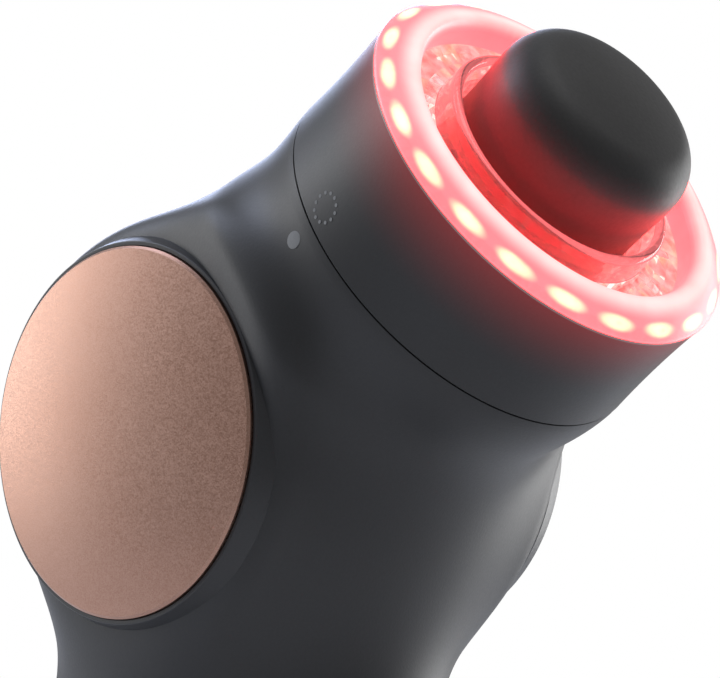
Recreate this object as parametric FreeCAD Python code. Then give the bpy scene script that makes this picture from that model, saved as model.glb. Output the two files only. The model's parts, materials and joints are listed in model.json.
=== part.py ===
"""Handheld percussive facial massager with a removable light ring.

The origin is the centre of the flat base face, +Z runs up the handle, +X is the side
that the barrel leans towards, and Y is the motor's axis.  Three local frames are used:
the row frame; the barrel frame, whose Z is the barrel axis counted from the motor axis
and whose X points forward and down; and the motor frame, whose Z is the row's +Y.
All sizes are millimetres.
"""
import FreeCAD, Part
import math
import os

V = FreeCAD.Vector
UP = V(0, 0, 1)
ACROSS = V(0, 1, 0)

# ---------------------------------------------------------------- overall shape
axis_height = 108.0          # motor axis above the base face
head_tilt = 45.0             # barrel axis above the horizontal, in degrees
wall = 2.4                   # housing wall
handle_top_radius = 26.8
handle_base_radius = 22.0
taper_start = 30.0           # below the motor axis
taper_end_height = 3.0       # above the base face
base_edge_radius = 2.0
neck_radius = 23.0           # barrel where it meets the head
neck_length = 26.0
seam_radius = 28.4
seam_at = 41.8               # along the barrel axis
barrel_back = 2.0            # the barrel form starts this far behind the motor axis
boss_radius = 26.9           # round motor boss on both sides
boss_half_width = 27.2       # the housing's flat side faces
side_rise = 4.2              # the side faces open out by this much towards the seam
side_rise_length = 9.8
side_round = 1.2             # rounding of the boss's rim
blend_handle = 16.0          # smooth-union widths
blend_boss_low = 14.0
blend_boss_high = 24.0
blend_rise = 30.0
blend_fade = 12.0            # the boss blend dies out over this length before the seam
handle_overrun = 5.0         # the handle form ends this far above the motor axis
bend_clearance = 0.85        # share of the boss's radius between it and the bend's pivot
handle_planes = 9            # sections of the body's skin
bend_planes = 15
barrel_planes = 9
section_points = 72

# ---------------------------------------------------------------- clearances
fit = 0.05                   # between pieces that seat in each other
running = 0.04               # radial, at shafts and rods
moving = 0.3                 # between bodies that move past each other
past = 1.0                   # how far a cutting tool runs past the face it cuts
seam_gap = 0.2               # parting line at the light ring

# ---------------------------------------------------------------- side plates
plate_radius = 24.8
plate_rim_at = 30.4          # plane of the plate's rim, from the middle
plate_crown = 1.8
plate_thickness = 1.2
plate_gap = 0.4
collar_radius = 26.7         # dark collar round the plate
collar_height = 2.6          # above the side face
collar_seat = 0.2            # the collar is let into the side face by this much
collar_round = 1.3
collar_draft = 0.2
carrier_floor = 1.4
skirt_depth = 4.0
skirt_wall = 1.8

# ---------------------------------------------------------------- drive
stroke = 5.0
crank_radius = stroke / 2
pin_radius = 1.5
pin_seat = 1.6               # depth of the pin in the crank disc
shaft_seat = 1.9             # where the shaft starts in the crank disc
roller_radius = 3.0
roller_width = 5.0
slot_play = 0.6              # roller to slot wall, each side
yoke_bar = 3.0
yoke_thickness = 5.6
yoke_end = 3.0               # past each end of the slot
yoke_boss_radius = 4.6
yoke_boss_length = 4.5
crank_disc_radius = 8.0
crank_disc_thickness = 3.6
crank_side_gap = 0.6         # between the disc and what passes beside it
counterweight_radius = 12.6
shaft_radius = 2.5
bearing_radius = 6.5
bearing_width = 4.0
case_radius = 17.0           # crankcase
case_wall = 2.5
cover_thickness = 2.0
guide_radius = 9.5
guide_bore = 7.0
bush_length = 6.0
can_radius = 17.5
can_wall = 1.2
end_cap_thickness = 2.0
end_cap_step = 2.2
end_cap_floor = 0.8          # behind the rear bearing
stator_ring = 2.2            # radial thickness of the stator's outer ring
rotor_ring = 2.4             # radial thickness of the rotor's magnets, and of its core
magnet_slit = 0.5
rotor_magnet_count = 6
bearing_race = 1.1
motor_length = 13.0
stator_tooth_count = 9
tooth_width = 2.6
rotor_air_gap = 0.5
rotor_radius = 9.6
rod_radius = 3.5
damper_width = 3.0
damper_margin = 0.5
screw_radius = 1.3
screw_head_radius = 2.3
screw_head_height = 1.4
screw_key_radius = 0.9
screw_key_depth = 0.8
cover_screw_radius = 0.7
cover_head_radius = 1.25
cover_head_height = 1.0
cover_screw_length = 6.0
motor_screw_head = 0.5

# ---------------------------------------------------------------- nose and light ring
nose_plate_thickness = 3.0
magnet_radius = 2.5
magnet_thickness = 1.5
magnet_circle = 22.0
magnet_count = 4
nose_pocket_floor = 0.6      # in front of and behind the magnets
ring_pocket_floor = 0.5
boot_lip = 3.0               # radial width of the rod's wiper
contact_count = 3
contact_circle = 19.3
contact_radius = 0.9
pad_radius = 1.3
contact_pitch_angle = 12.0
ring_wall = 1.8
ring_bore = 16.0
ring_inner_wall = 1.6
ring_floor = 2.2
shell_length = 17.3          # seam to the lens seal
shell_waist = 0.25
seal_thickness = 0.3
seal_lap = 0.6               # the seal's inner edge inside the shell's wall
lens_lip_height = 3.2
lens_lip_radius = 23.8
lens_outer_radius = 28.5
collar_top_rise = 2.9        # of the clear inner collar above the seal
collar_base_at = 50.0
board_at = 49.0
board_thickness = 1.6
board_ledge = 1.2            # step in the shell that carries the lamp board
led_count = 24
led_circle = 24.4
led_size = 2.0
led_height = 0.8
led_window_gap = 0.15
reflector_wall = 0.6
optic_height = 3.6
optic_top_drop = 0.9         # below the seal
mark_circle = 3.9 / 2
mark_dot_radius = 0.25
mark_dot_count = 12
mark_depth = 0.3
mark_rise = 0.04
mark_at = 45.1
dot_at = 38.5
dot_radius = 2.35 / 2
mark_angle = -94.2           # about the barrel axis, from forward-down towards +Y

# ---------------------------------------------------------------- massage tip
tip_radius = 14.8
tip_base_at = 50.0
tip_top_at = 75.0
tip_edge_round = 6.0
tip_crown = 0.8
tip_core_radius = 11.0
tip_core_top_at = 66.0
socket_depth = 8.5
tip_magnet_thickness = 2.0
tip_foot_round = 0.8
tip_waist = 0.25
ring_below_rod_end = 4.4     # o-ring under the rod's end
ring_wire = 0.72             # o-ring section radius

# ---------------------------------------------------------------- handle contents
cell_radius = 9.2
cell_length = 65.0
cell_pitch = 18.7
cell_x = -3.0
chip_room = 2.1              # above the charging board
tab_thickness = 0.3
tab_half_width = 3.0
terminal_radius = 3.2
terminal_height = 0.6
holder_wall = 1.6
board_x = 9.2
board_width = 26.0
control_board_thickness = 1.6
board_end_gap = 2.0          # control board to the ends of the cells
button_board_thickness = 1.2
button_board_half_width = 8.0
button_board_margin = 7.0    # past the middle of each key
button_board_drop = 6.2      # behind the housing's inner wall
switch_half = 2.6
switch_body = 1.4
switch_stem = 0.5
switch_stem_radius = 1.4
header_half_width = 6.0
header_half_height = 1.2
button_radius = 5.5
button_flange = 1.2
power_button_height = 60.0
light_button_height = 40.0
pipe_pitch = 1.5
pipe_radius = 0.5
button_stand = 0.5           # proud of the handle
button_travel = 0.5
button_dome = 0.6
button_stem_radius = 1.6
switch_gap = 0.05            # between a key's stem at its stop and its switch
led_half = 0.5
led_half_height = 0.4
led_stand = 0.6
bar_thickness = 1.0          # light pipe's bar
bar_half_width = 1.0
bar_margin = 1.1
bar_behind_wall = 1.6
cap_thickness = 2.4
cap_skirt = 6.0
cap_skirt_wall = 1.6
post_radius = 3.0
post_inset = 5.2             # screw posts, in from the cap's edge
head_recess = 0.4
screw_past_board = 1.0
socket_width = 9.0
socket_height = 3.2
socket_offset = -7.0         # behind the middle of the base
charge_board_at = 8.6
charge_board_thickness = 1.4
tongue_thickness = 0.7
tongue_half_width = 3.3
socket_wall = 0.35
socket_recess = 0.8          # the socket's mouth above the base face
tongue_recess = 1.0
slot_margin = 0.2


# ================================================================ helpers
def cylinder(radius, low, high, at=V(0, 0, 0)):
    return Part.makeCylinder(radius, high - low, V(at.x, at.y, low), UP)


def tube(outer, inner, low, high, at=V(0, 0, 0)):
    return cylinder(outer, low, high, at).cut(cylinder(inner, low - 1, high + 1, at))


def box(x_range, y_range, z_range):
    size = [r[1] - r[0] for r in (x_range, y_range, z_range)]
    return Part.makeBox(*size, V(x_range[0], y_range[0], z_range[0]))


def revolve(points):
    """A solid of revolution about Z from (radius, z) corners."""
    outline = Part.makePolygon([V(r, 0, z) for r, z in points + points[:1]])
    return Part.Face(outline).revolve(V(0, 0, 0), UP, 360)


def revolve_edges(edges):
    """A solid of revolution about Z from edges drawn in the XZ plane."""
    return Part.Face(Part.Wire(Part.__sortEdges__(edges))).revolve(V(0, 0, 0), UP, 360)


def line(a, b):
    return Part.makeLine(V(a[0], 0, a[1]), V(b[0], 0, b[1]))


def arc(a, b, c):
    return Part.Arc(*(V(p[0], 0, p[1]) for p in (a, b, c))).toShape()


def dome_arc(radius, base, crown):
    """Arc of a sphere whose centre is on the axis, from the rim up to the pole."""
    bend = (radius * radius + crown * crown) / (2 * crown)
    half = math.asin(radius / bend) / 2
    centre = base + crown - bend
    return arc((radius, base), (bend * math.sin(half), centre + bend * math.cos(half)), (0, base + crown))


def spline(points):
    curve = Part.BSplineCurve()
    curve.interpolate([V(r, 0, z) for r, z in points])
    return curve.toShape()


def fused(shapes):
    return shapes[0].multiFuse(shapes[1:]).removeSplitter() if len(shapes) > 1 else shapes[0]


def group(shapes):
    """Separate solids kept in one node."""
    return Part.makeCompound(shapes)


def around(count, radius, start=0.0):
    """Centres evenly spaced on a circle in the local XY plane."""
    turns = [math.radians(start + 360.0 * i / count) for i in range(count)]
    return [V(radius * math.cos(t), radius * math.sin(t), 0) for t in turns]


def on_barrel(shape):
    """Barrel frame to row frame."""
    moved = shape.copy()
    moved.rotate(V(0, 0, 0), ACROSS, 90 - head_tilt)
    moved.translate(V(0, 0, axis_height))
    return moved


def on_motor(shape):
    """Motor frame to row frame: local Z becomes the row's +Y."""
    moved = shape.copy()
    moved.rotate(V(0, 0, 0), V(1, 0, 0), -90)
    moved.translate(V(0, 0, axis_height))
    return moved


def on_front(shape, height):
    """A shape built along Z, turned to point along +X at a height on the handle."""
    moved = shape.copy()
    moved.rotate(V(0, 0, 0), ACROSS, 90)
    moved.translate(V(0, 0, height))
    return moved


def mirrored(shape):
    return shape.mirror(V(0, 0, 0), ACROSS)


# ================================================================ the body's outer form
def smoothstep(t):
    t = min(max(t, 0.0), 1.0)
    return t * t * (3 - 2 * t)


def smooth_union(a, b, width):
    """Least of two distances, rounded over the given width."""
    h = min(max(0.5 + 0.5 * (b - a) / width, 0.0), 1.0)
    return b * (1 - h) + a * h - width * h * (1 - h)


def handle_radius(drop):
    """Handle radius at a depth below the motor axis."""
    span = axis_height - taper_end_height - taper_start
    t = smoothstep((drop - taper_start) / span)
    return handle_top_radius + (handle_base_radius - handle_top_radius) * t


def barrel_radius(along):
    t = smoothstep((seam_at - along) / neck_length)
    return seam_radius - (seam_radius - neck_radius) * t


def side_limit(along):
    """Half width that the sides are trimmed to: flat at the boss, opening out at the seam."""
    start = seam_at - side_rise_length
    return boss_half_width + side_rise * smoothstep((along - start) / side_rise_length)


def body_distance(p):
    """Signed distance-like value of the body; p is counted from the motor axis."""
    tilt = math.radians(head_tilt)
    along = math.cos(tilt) * p.x + math.sin(tilt) * p.z
    off = math.sin(tilt) * p.x - math.cos(tilt) * p.z
    barrel = max(math.hypot(p.y, off) - barrel_radius(along), -along - barrel_back)
    handle = max(math.hypot(p.x, p.y) - handle_radius(-p.z), p.z - handle_overrun)
    stem = smooth_union(handle, barrel, blend_handle)
    rise = smoothstep(p.z / blend_rise)
    fade = 1 - smoothstep((along - seam_at + blend_fade) / blend_fade)
    width = max((blend_boss_low + (blend_boss_high - blend_boss_low) * rise) * fade, 0.001)
    form = smooth_union(stem, math.hypot(p.x, p.z) - boss_radius, width)
    return -smooth_union(-form, side_limit(along) - abs(p.y), side_round)


def surface_reach(centre, direction):
    """Distance from a centre to the body's surface, by bisection."""
    low = 0.0
    high = 2 * seam_radius
    for _ in range(30):
        middle = (low + high) / 2
        if body_distance(centre + direction * middle) < 0:
            low = middle
        else:
            high = middle
    return low


def body_sections():
    """Planes that follow the spine: up the handle, round the bend and along the barrel."""
    tilt = math.radians(head_tilt)
    bend = math.radians(90 - head_tilt)
    spread = seam_radius + bend_clearance * boss_radius
    pivot = V(spread * math.cos(bend / 2), 0, -spread * math.sin(bend / 2))
    planes = []
    for i in range(handle_planes):
        height = -axis_height + (pivot.z + axis_height) * i / handle_planes
        planes.append((V(0, 0, height), V(1, 0, 0)))
    for i in range(bend_planes):
        turn = bend * i / (bend_planes - 1)
        outward = V(-math.cos(turn), 0, math.sin(turn))
        planes.append((pivot + outward * pivot.x, outward * -1))
    first = -pivot.z
    for i in range(1, barrel_planes + 1):
        along = first + (seam_at - first) * i / barrel_planes
        centre = V(math.cos(tilt) * along, 0, math.sin(tilt) * along)
        planes.append((centre, V(math.sin(tilt), 0, -math.cos(tilt))))
    return planes


def section_curve(centre, forward, points=section_points):
    """Closed smooth curve through the body's surface in one plane."""
    reach = []
    for i in range(points):
        turn = 2 * math.pi * i / points
        direction = forward * math.cos(turn) + ACROSS * math.sin(turn)
        reach.append(centre + direction * surface_reach(centre, direction))
    curve = Part.BSplineCurve()
    steps = [i / points for i in range(points + 1)]
    curve.interpolate(Points=reach, PeriodicFlag=True, Parameters=steps)
    return curve


def skin(curves, places):
    """Smooth surface through closed curves of the same kind, placed along one direction."""
    columns = []
    for poles in zip(*(curve.getPoles() for curve in curves)):
        column = Part.BSplineCurve()
        column.interpolate(Points=list(poles), Parameters=places)
        columns.append(column)
    first, around_knots = columns[0], curves[0]
    surface = Part.BSplineSurface()
    surface.buildFromPolesMultsKnots([column.getPoles() for column in columns],
                                     around_knots.getMultiplicities(), first.getMultiplicities(),
                                     around_knots.getKnots(), first.getKnots(), True, False,
                                     around_knots.Degree, first.Degree)
    return surface


def body_form():
    """The solid outer form, still without its hollow, in the row frame."""
    planes = body_sections()
    places = [0.0]
    for (centre, _), (previous, _) in zip(planes[1:], planes):
        places.append(places[-1] + centre.distanceToPoint(previous))
    side = skin([section_curve(centre, forward) for centre, forward in planes], places).toShape()
    ends = [Part.Face(Part.Wire(edge)) for edge in side.Edges if edge.isClosed()]
    shell = Part.makeShell([side] + ends)
    shell.sewShape()
    form = Part.makeSolid(shell)
    form.translate(V(0, 0, axis_height))
    return form


# ================================================================ housing and base
def handle_hollow():
    """Hollow of the handle: the handle's own curve less the wall, up to the motor bay."""
    top = axis_height - taper_start / 2
    steps = 8
    heights = [top * i / steps for i in range(steps + 1)]
    curve = [(handle_radius(axis_height - z) - wall, z) for z in heights]
    below = (curve[0][0], -past)
    edges = [spline(curve), line(curve[-1], (0, top)), line((0, top), (0, -past)),
             line((0, -past), below), line(below, curve[0])]
    return revolve_edges(edges)


def barrel_bore():
    return neck_radius - wall


def nose_seat_at():
    return seam_at - nose_plate_thickness


def base_rounding():
    """Ring that is cut away to round the housing's bottom edge."""
    r = handle_base_radius
    e = base_edge_radius
    bend = e * (1 - math.sqrt(0.5))
    far = r + 3
    edges = [arc((r - e, 0), (r - bend, bend), (r, e)), line((r, e), (far, e)),
             line((far, e), (far, -1)), line((far, -1), (r - e, -1)), line((r - e, -1), (r - e, 0))]
    return revolve_edges(edges)


def button_hole(height):
    hole = cylinder(button_radius + moving / 2, handle_base_radius / 2, handle_top_radius + 5)
    return on_front(hole, height)


def pipe_heights():
    """Heights of the three indicator windows, between the buttons."""
    middle = (power_button_height + light_button_height) / 2
    return [middle + pipe_pitch * i for i in (-1, 0, 1)]


def dot_frame(along):
    """Base point and outward direction of a mark on the barrel's side, in the row frame."""
    tilt = math.radians(head_tilt)
    turn = math.radians(mark_angle)
    axis = V(math.cos(tilt), 0, math.sin(tilt))
    down = V(math.sin(tilt), 0, -math.cos(tilt))
    outward = down * math.cos(turn) + ACROSS * math.sin(turn)
    return axis * along, outward, outward.cross(axis)


def alignment_dot(extra=0.0):
    centre, outward, _ = dot_frame(dot_at)
    reach = surface_reach(centre, outward)
    start = centre + outward * (reach - mark_depth) + V(0, 0, axis_height)
    return Part.makeCylinder(dot_radius + extra, mark_depth + mark_rise + 2 * extra, start, outward)


def collar_pocket():
    """Flat seat for the plate's collar in the side face; for +Y."""
    return on_motor(cylinder(collar_radius + fit, carrier_low(), boss_half_width + side_rise + past))


def main_housing():
    form = body_form()
    reach = boss_half_width + past
    motor_bay = cylinder(boss_radius - wall, -reach, reach)
    hollows = [handle_hollow(), on_motor(motor_bay), collar_pocket(), mirrored(collar_pocket()),
               on_barrel(cylinder(barrel_bore(), 0, seam_at + past)),
               on_barrel(cylinder(seam_radius - wall, nose_seat_at(), seam_at + past)),
               base_rounding(), button_hole(power_button_height), button_hole(light_button_height),
               alignment_dot(fit)]
    hollows += [on_front(cylinder(pipe_radius + fit, handle_base_radius / 2, handle_top_radius + 5), z)
                for z in pipe_heights()]
    for hollow in hollows:
        form = form.cut(hollow)
    return form


def cap_radius():
    return handle_base_radius - wall - fit


def socket_slot(margin, low, high):
    """Rounded slot for the charging socket, in the base behind its middle."""
    half = socket_width / 2 - socket_height / 2
    r = socket_height / 2 + margin
    x = socket_offset
    bar = box((x - r, x + r), (-half, half), (low, high))
    return fused([bar, cylinder(r, low, high, V(x, half, 0)), cylinder(r, low, high, V(x, -half, 0))])


def base_screw_places():
    return around(2, cap_radius() - post_inset, 0)


def base_cap():
    floor = cylinder(cap_radius(), 0, cap_thickness)
    high = cap_thickness + cap_skirt
    skirt = tube(cap_radius() - fit, cap_radius() - cap_skirt_wall, cap_thickness, high - past)
    posts = [cylinder(post_radius, cap_thickness, high, p) for p in base_screw_places()]
    cap = fused([floor, skirt] + posts)
    for p in base_screw_places():
        cap = cap.cut(cylinder(screw_radius + fit, -past, high + past, p))
        cap = cap.cut(cylinder(screw_head_radius + slot_margin, -past, screw_head_height + head_recess, p))
    return cap.cut(socket_slot(slot_margin, -past, cap_thickness + past))


def base_screws():
    top = charge_board_at + charge_board_thickness + screw_past_board
    return group([screw(p, screw_head_height + head_recess, top) for p in base_screw_places()])


def screw(place, head_top, end):
    """Pan-head screw pointing up; its head is below head_top."""
    head = cylinder(screw_head_radius, head_top - screw_head_height, head_top, place)
    corners = around(6, screw_key_radius)
    face_at = V(place.x, place.y, head_top - screw_head_height)
    key = Part.Face(Part.makePolygon([p + face_at for p in corners + corners[:1]]))
    shank = cylinder(screw_radius, head_top, end, place)
    return head.cut(key.extrude(V(0, 0, screw_key_depth))).fuse(shank).removeSplitter()


def charge_socket():
    """Steel shell round the contact tongue, open towards the base."""
    low = socket_recess
    high = charge_board_at
    inside = high - 1.0
    half = tongue_thickness / 2
    shell = socket_slot(0, low, high).cut(socket_slot(-socket_wall, low - past, inside))
    tongue = box((socket_offset - half, socket_offset + half),
                 (-tongue_half_width, tongue_half_width), (low + tongue_recess, inside))
    return fused([shell, tongue])


def charge_board():
    board = cylinder(cap_radius() - 1.0, charge_board_at, charge_board_at + charge_board_thickness)
    for p in base_screw_places():
        board = board.cut(cylinder(screw_radius + fit, 0, charge_board_at + 2 * charge_board_thickness, p))
    return board


def charge_chips():
    low = charge_board_at + charge_board_thickness
    return group([box((4, 9), (-12, -6), (low, low + 1.2)), box((-12, -6), (5, 11), (low, low + 1.6)),
                  box((5, 9), (6, 12), (low, low + 1.8))])


# ================================================================ battery and boards
def cell_places():
    return [V(cell_x, -cell_pitch / 2, 0), V(cell_x, cell_pitch / 2, 0)]


def cell_base():
    """The cells stand on the holder's lower plate, above the charging board's chips."""
    return charge_board_at + charge_board_thickness + chip_room + holder_wall + tab_thickness


def cell_top():
    return cell_base() + cell_length


def battery_cells():
    cells = []
    for p in cell_places():
        shoulder = cell_top() - terminal_height
        can = cylinder(cell_radius, cell_base(), shoulder, p)
        cells.append(can.fuse(cylinder(terminal_radius, shoulder, cell_top(), p)).removeSplitter())
    return group(cells)


def battery_tabs():
    """Nickel strips that join the cells' ends."""
    half = cell_pitch / 2 + 4
    x = (cell_x - tab_half_width, cell_x + tab_half_width)
    return group([box(x, (-half, half), (cell_base() - tab_thickness, cell_base())),
                  box(x, (-half, half), (cell_top(), cell_top() + tab_thickness))])


def battery_holder():
    """Cradle: a curved back and two end plates, with the cells' bores."""
    narrowest = min(handle_radius(axis_height - z) for z in (cell_base(), charge_board_at))
    radius = narrowest - wall - moving
    low = cell_base() - tab_thickness - holder_wall
    high = cell_top() + tab_thickness + holder_wall
    back = tube(radius, radius - holder_wall, low, high)
    back = back.common(box((-radius - 1, cell_x - 1), (-radius, radius), (low, high)))
    depth = board_x - fit
    plates = []
    for a in (low, high - holder_wall):
        b = a + holder_wall
        plates.append(cylinder(radius, a, b).common(box((-radius, depth), (-radius, radius), (a, b))))
    holder = fused([back] + plates)
    for p in cell_places():
        holder = holder.cut(cylinder(cell_radius + fit, cell_base(), cell_top(), p))
    return holder


def board_front():
    return board_x + control_board_thickness


def control_board():
    half = board_width / 2
    return box((board_x, board_front()), (-half, half),
               (cell_base() + board_end_gap, cell_top() - board_end_gap))


def board_chips():
    """Chips of the control board, and the lamps behind the indicator windows."""
    x = board_front()
    z = cell_base() + board_end_gap
    return group([box((x, x + 1.2), (-5, 4), (z + 8, z + 17)), box((x, x + 2.4), (-11, -6), (z + 40, z + 47)),
                  box((x, x + 2.4), (6, 11), (z + 40, z + 47)), box((x, x + 1.0), (6, 11), (z + 8, z + 13)),
                  cylinder(2.2, z + 46, z + 54, V(x + 2.3, 0, 0))] + status_leds())


def button_board_x():
    """Inner face of the small board behind the buttons."""
    lowest = min(power_button_height, light_button_height)
    return handle_radius(axis_height - lowest) - wall - button_board_drop


def button_heights():
    return [power_button_height, light_button_height]


def button_board_front():
    return button_board_x() + button_board_thickness


def button_board():
    low = min(button_heights()) - button_board_margin
    high = max(button_heights()) + button_board_margin
    half = button_board_half_width
    return box((button_board_x(), button_board_front()), (-half, half), (low, high))


def board_header():
    """Pin header between the control board and the button board."""
    middle = (power_button_height + light_button_height) / 2
    return box((board_front(), button_board_x()), (-header_half_width, header_half_width),
               (middle - header_half_height, middle + header_half_height))


def tact_switches():
    x = button_board_front()
    top = x + switch_body
    h = switch_half
    switches = []
    for z in button_heights():
        case = box((x, top), (-h, h), (z - h, z + h))
        stem = on_front(cylinder(switch_stem_radius, top, top + switch_stem), z)
        switches.append(case.fuse(stem).removeSplitter())
    return group(switches)


def status_leds():
    x = button_board_front()
    return [box((x, x + led_stand), (-led_half, led_half), (z - led_half_height, z + led_half_height))
            for z in pipe_heights()]


def handle_face(height):
    """X of the handle's front surface at a height above the base."""
    return surface_reach(V(0, 0, height - axis_height), V(1, 0, 0))


def status_light_pipe():
    """Clear bar behind the wall with three windows that end flush with the surface."""
    heights = pipe_heights()
    drop = axis_height - heights[1]
    back = handle_radius(drop) - wall - bar_behind_wall
    front = back + bar_thickness
    bar = box((back, front), (-bar_half_width, bar_half_width),
              (heights[0] - bar_margin, heights[-1] + bar_margin))
    pegs = [on_front(cylinder(pipe_radius, front, handle_face(z)), z) for z in heights]
    return fused([bar] + pegs)


def button_inner_face(height):
    """Where the button's flange meets the housing's inner wall."""
    radius = handle_radius(axis_height - height + button_radius) - wall
    rim = button_radius + button_flange
    return min(math.sqrt(radius * radius - rim * rim), radius) - moving


def button(height):
    """Round key: a domed cap, a flange behind the wall and a stem towards its switch."""
    face = handle_face(height) + button_stand
    seat = button_inner_face(height)
    under = seat - 1.0
    switch = button_board_front() + switch_body + switch_stem + button_travel + switch_gap
    r = button_radius
    rim = r + button_flange
    stem = button_stem_radius
    flat = r - 2 * button_dome
    shoulder = (r, face - button_dome)
    edges = [line((0, switch), (stem, switch)), line((stem, switch), (stem, under)),
             line((stem, under), (rim, under)), line((rim, under), (rim, seat)),
             line((rim, seat), (r, seat)), line((r, seat), shoulder),
             arc(shoulder, (r - 0.35, face - 0.2), (flat, face)),
             line((flat, face), (0, face)), line((0, face), (0, switch))]
    return on_front(revolve_edges(edges), height)


# ================================================================ side plates
def carrier_face():
    return boss_half_width + collar_height


def carrier_low():
    """Plane of the collar's seat in the housing's side face."""
    return boss_half_width - collar_seat


def plate_floor():
    """Plane that the side plate's rim stands on."""
    return carrier_low() + carrier_floor


def plate_carrier():
    """Dark collar with a floor behind the plate and a skirt in the motor bay; for +Y."""
    rim = plate_radius + plate_gap
    top = carrier_face()
    low = carrier_low()
    foot = low - skirt_depth
    skirt = boss_radius - wall - fit
    inside = skirt - skirt_wall
    edge = collar_radius - collar_draft
    c = min(collar_round, edge - rim - fit)
    bend = c * (1 - math.sqrt(0.5))
    floor = plate_floor()
    edges = [line((0, low), (inside, low)), line((inside, low), (inside, foot)),
             line((inside, foot), (skirt, foot)), line((skirt, foot), (skirt, low)),
             line((skirt, low), (collar_radius, low)), line((collar_radius, low), (edge, top - c)),
             arc((edge, top - c), (edge - bend, top - bend), (edge - c, top)),
             line((edge - c, top), (rim, top)), line((rim, top), (rim, floor)),
             line((rim, floor), (0, floor)), line((0, floor), (0, low))]
    return on_motor(revolve_edges(edges))


def side_plate():
    """Domed metal disc with a turned-back rim; for +Y."""
    r = plate_radius
    rim = plate_rim_at
    back = plate_floor()
    hollow = r - plate_thickness
    under = rim - plate_thickness
    edges = [dome_arc(r, rim, plate_crown), line((0, rim + plate_crown), (0, under + plate_crown)),
             dome_arc(hollow, under, plate_crown), line((hollow, under), (hollow, back)),
             line((hollow, back), (r, back)), line((r, back), (r, rim))]
    return on_motor(revolve_edges(edges))


# ================================================================ crankcase and motor
def disc_low():
    """The crank disc clears the yoke, its boss and the rod."""
    return max(yoke_thickness / 2, yoke_boss_radius, rod_radius) + crank_side_gap


def disc_high():
    return disc_low() + crank_disc_thickness


def bell_low():
    """Inner face of the motor's mounting plate."""
    return disc_high() + crank_side_gap + motor_screw_head


def bell_high():
    return bell_low() + bearing_width


def motor_end():
    return bell_high() + motor_length


def case_reach():
    """The crankcase's open end, past the guide and one damper ring, towards -Y."""
    return guide_radius + damper_width + 2 * damper_margin


def case_screw_places():
    return around(4, case_radius - case_wall / 2, 45)


def chassis_frame():
    """Crankcase: a cup round the crank, the motor's mounting plate and the rod's guide."""
    cup = on_motor(cylinder(case_radius, -case_reach(), bell_high()))
    plate = on_motor(cylinder(can_radius, bell_low(), bell_high()))
    guide = on_barrel(cylinder(guide_radius, 0, nose_seat_at() - 2.0))
    body = fused([cup, plate, guide])
    body = body.cut(on_motor(cylinder(case_radius - case_wall, -case_reach() - 1, bell_low())))
    body = body.cut(on_barrel(cylinder(guide_bore, 0, seam_at)))
    body = body.cut(on_motor(cylinder(bearing_radius + fit / 2, 0, bell_high() + 1)))
    end = cover_screw_length - cover_thickness - case_reach()
    for p in case_screw_places():
        hole = cylinder(cover_screw_radius + fit, -case_reach() - past, end + past, p)
        body = body.cut(on_motor(hole))
    for p in motor_screw_places():
        body = body.cut(on_motor(cylinder(screw_radius + fit, 0, bell_high() + 1, p)))
    return body


def motor_screw_places():
    return around(3, bearing_radius + 3.2, 0)


def crankcase_cover():
    cover = cylinder(case_radius, -case_reach() - cover_thickness, -case_reach())
    for p in case_screw_places():
        cover = cover.cut(cylinder(cover_screw_radius + slot_margin, -2 * case_reach(), 0, p))
    return on_motor(cover)


def cover_screws():
    low = -case_reach() - cover_thickness
    screws = []
    for p in case_screw_places():
        head = cylinder(cover_head_radius, low - cover_head_height, low, p)
        shank = cylinder(cover_screw_radius, low, low + cover_screw_length, p)
        screws.append(head.fuse(shank).removeSplitter())
    return on_motor(group(screws))


def damper_ring(inner, low):
    return on_motor(tube(boss_radius - wall - fit, inner + fit, low, low + damper_width))


def damper_mounts():
    """Rubber rings that hold the crankcase and motor in the housing."""
    skirt_end = carrier_low() - skirt_depth
    nose_ring = nose_seat_at() - 2 * damper_width - damper_margin
    outer = barrel_bore() - fit
    rings = [damper_ring(can_radius, min(skirt_end, motor_end()) - damper_width - end_cap_thickness),
             damper_ring(case_radius, -case_reach() + damper_margin),
             on_barrel(tube(outer, guide_radius + fit, nose_ring, nose_ring + damper_width))]
    return group(rings)


def motor_can():
    low = bell_high()
    high = motor_end() - end_cap_thickness
    return on_motor(tube(can_radius, can_radius - can_wall, low, high))


def motor_end_cap():
    """Rear cap with the second bearing's seat."""
    low = motor_end() - end_cap_thickness
    bore = can_radius - can_wall
    cap = cylinder(can_radius, low, motor_end())
    step = tube(bore - fit, bore - end_cap_thickness, low - end_cap_step, low)
    hub = cylinder(bearing_radius + bearing_race, low - end_cap_step, low)
    seat = cylinder(bearing_radius + fit / 2, low - end_cap_step - past, motor_end() - end_cap_floor)
    body = fused([cap, step, hub]).cut(seat)
    return on_motor(body)


def rear_bearing_low():
    return motor_end() - end_cap_floor - bearing_width


def shaft_bearings():
    bearings = []
    for low in (bell_low(), rear_bearing_low()):
        high = low + bearing_width
        outside = bearing_radius - bearing_race
        inside = shaft_radius + bearing_race
        outer = tube(bearing_radius, outside, low, high)
        inner = tube(inside, shaft_radius + running, low, high)
        cage = tube(outside, inside, low + bearing_race / 2, high - bearing_race / 2)
        bearings.append(on_motor(fused([outer, cage, inner])))
    return group(bearings)


def stator_span():
    return bell_high() + 2.2, rear_bearing_low() - 1.4


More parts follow.
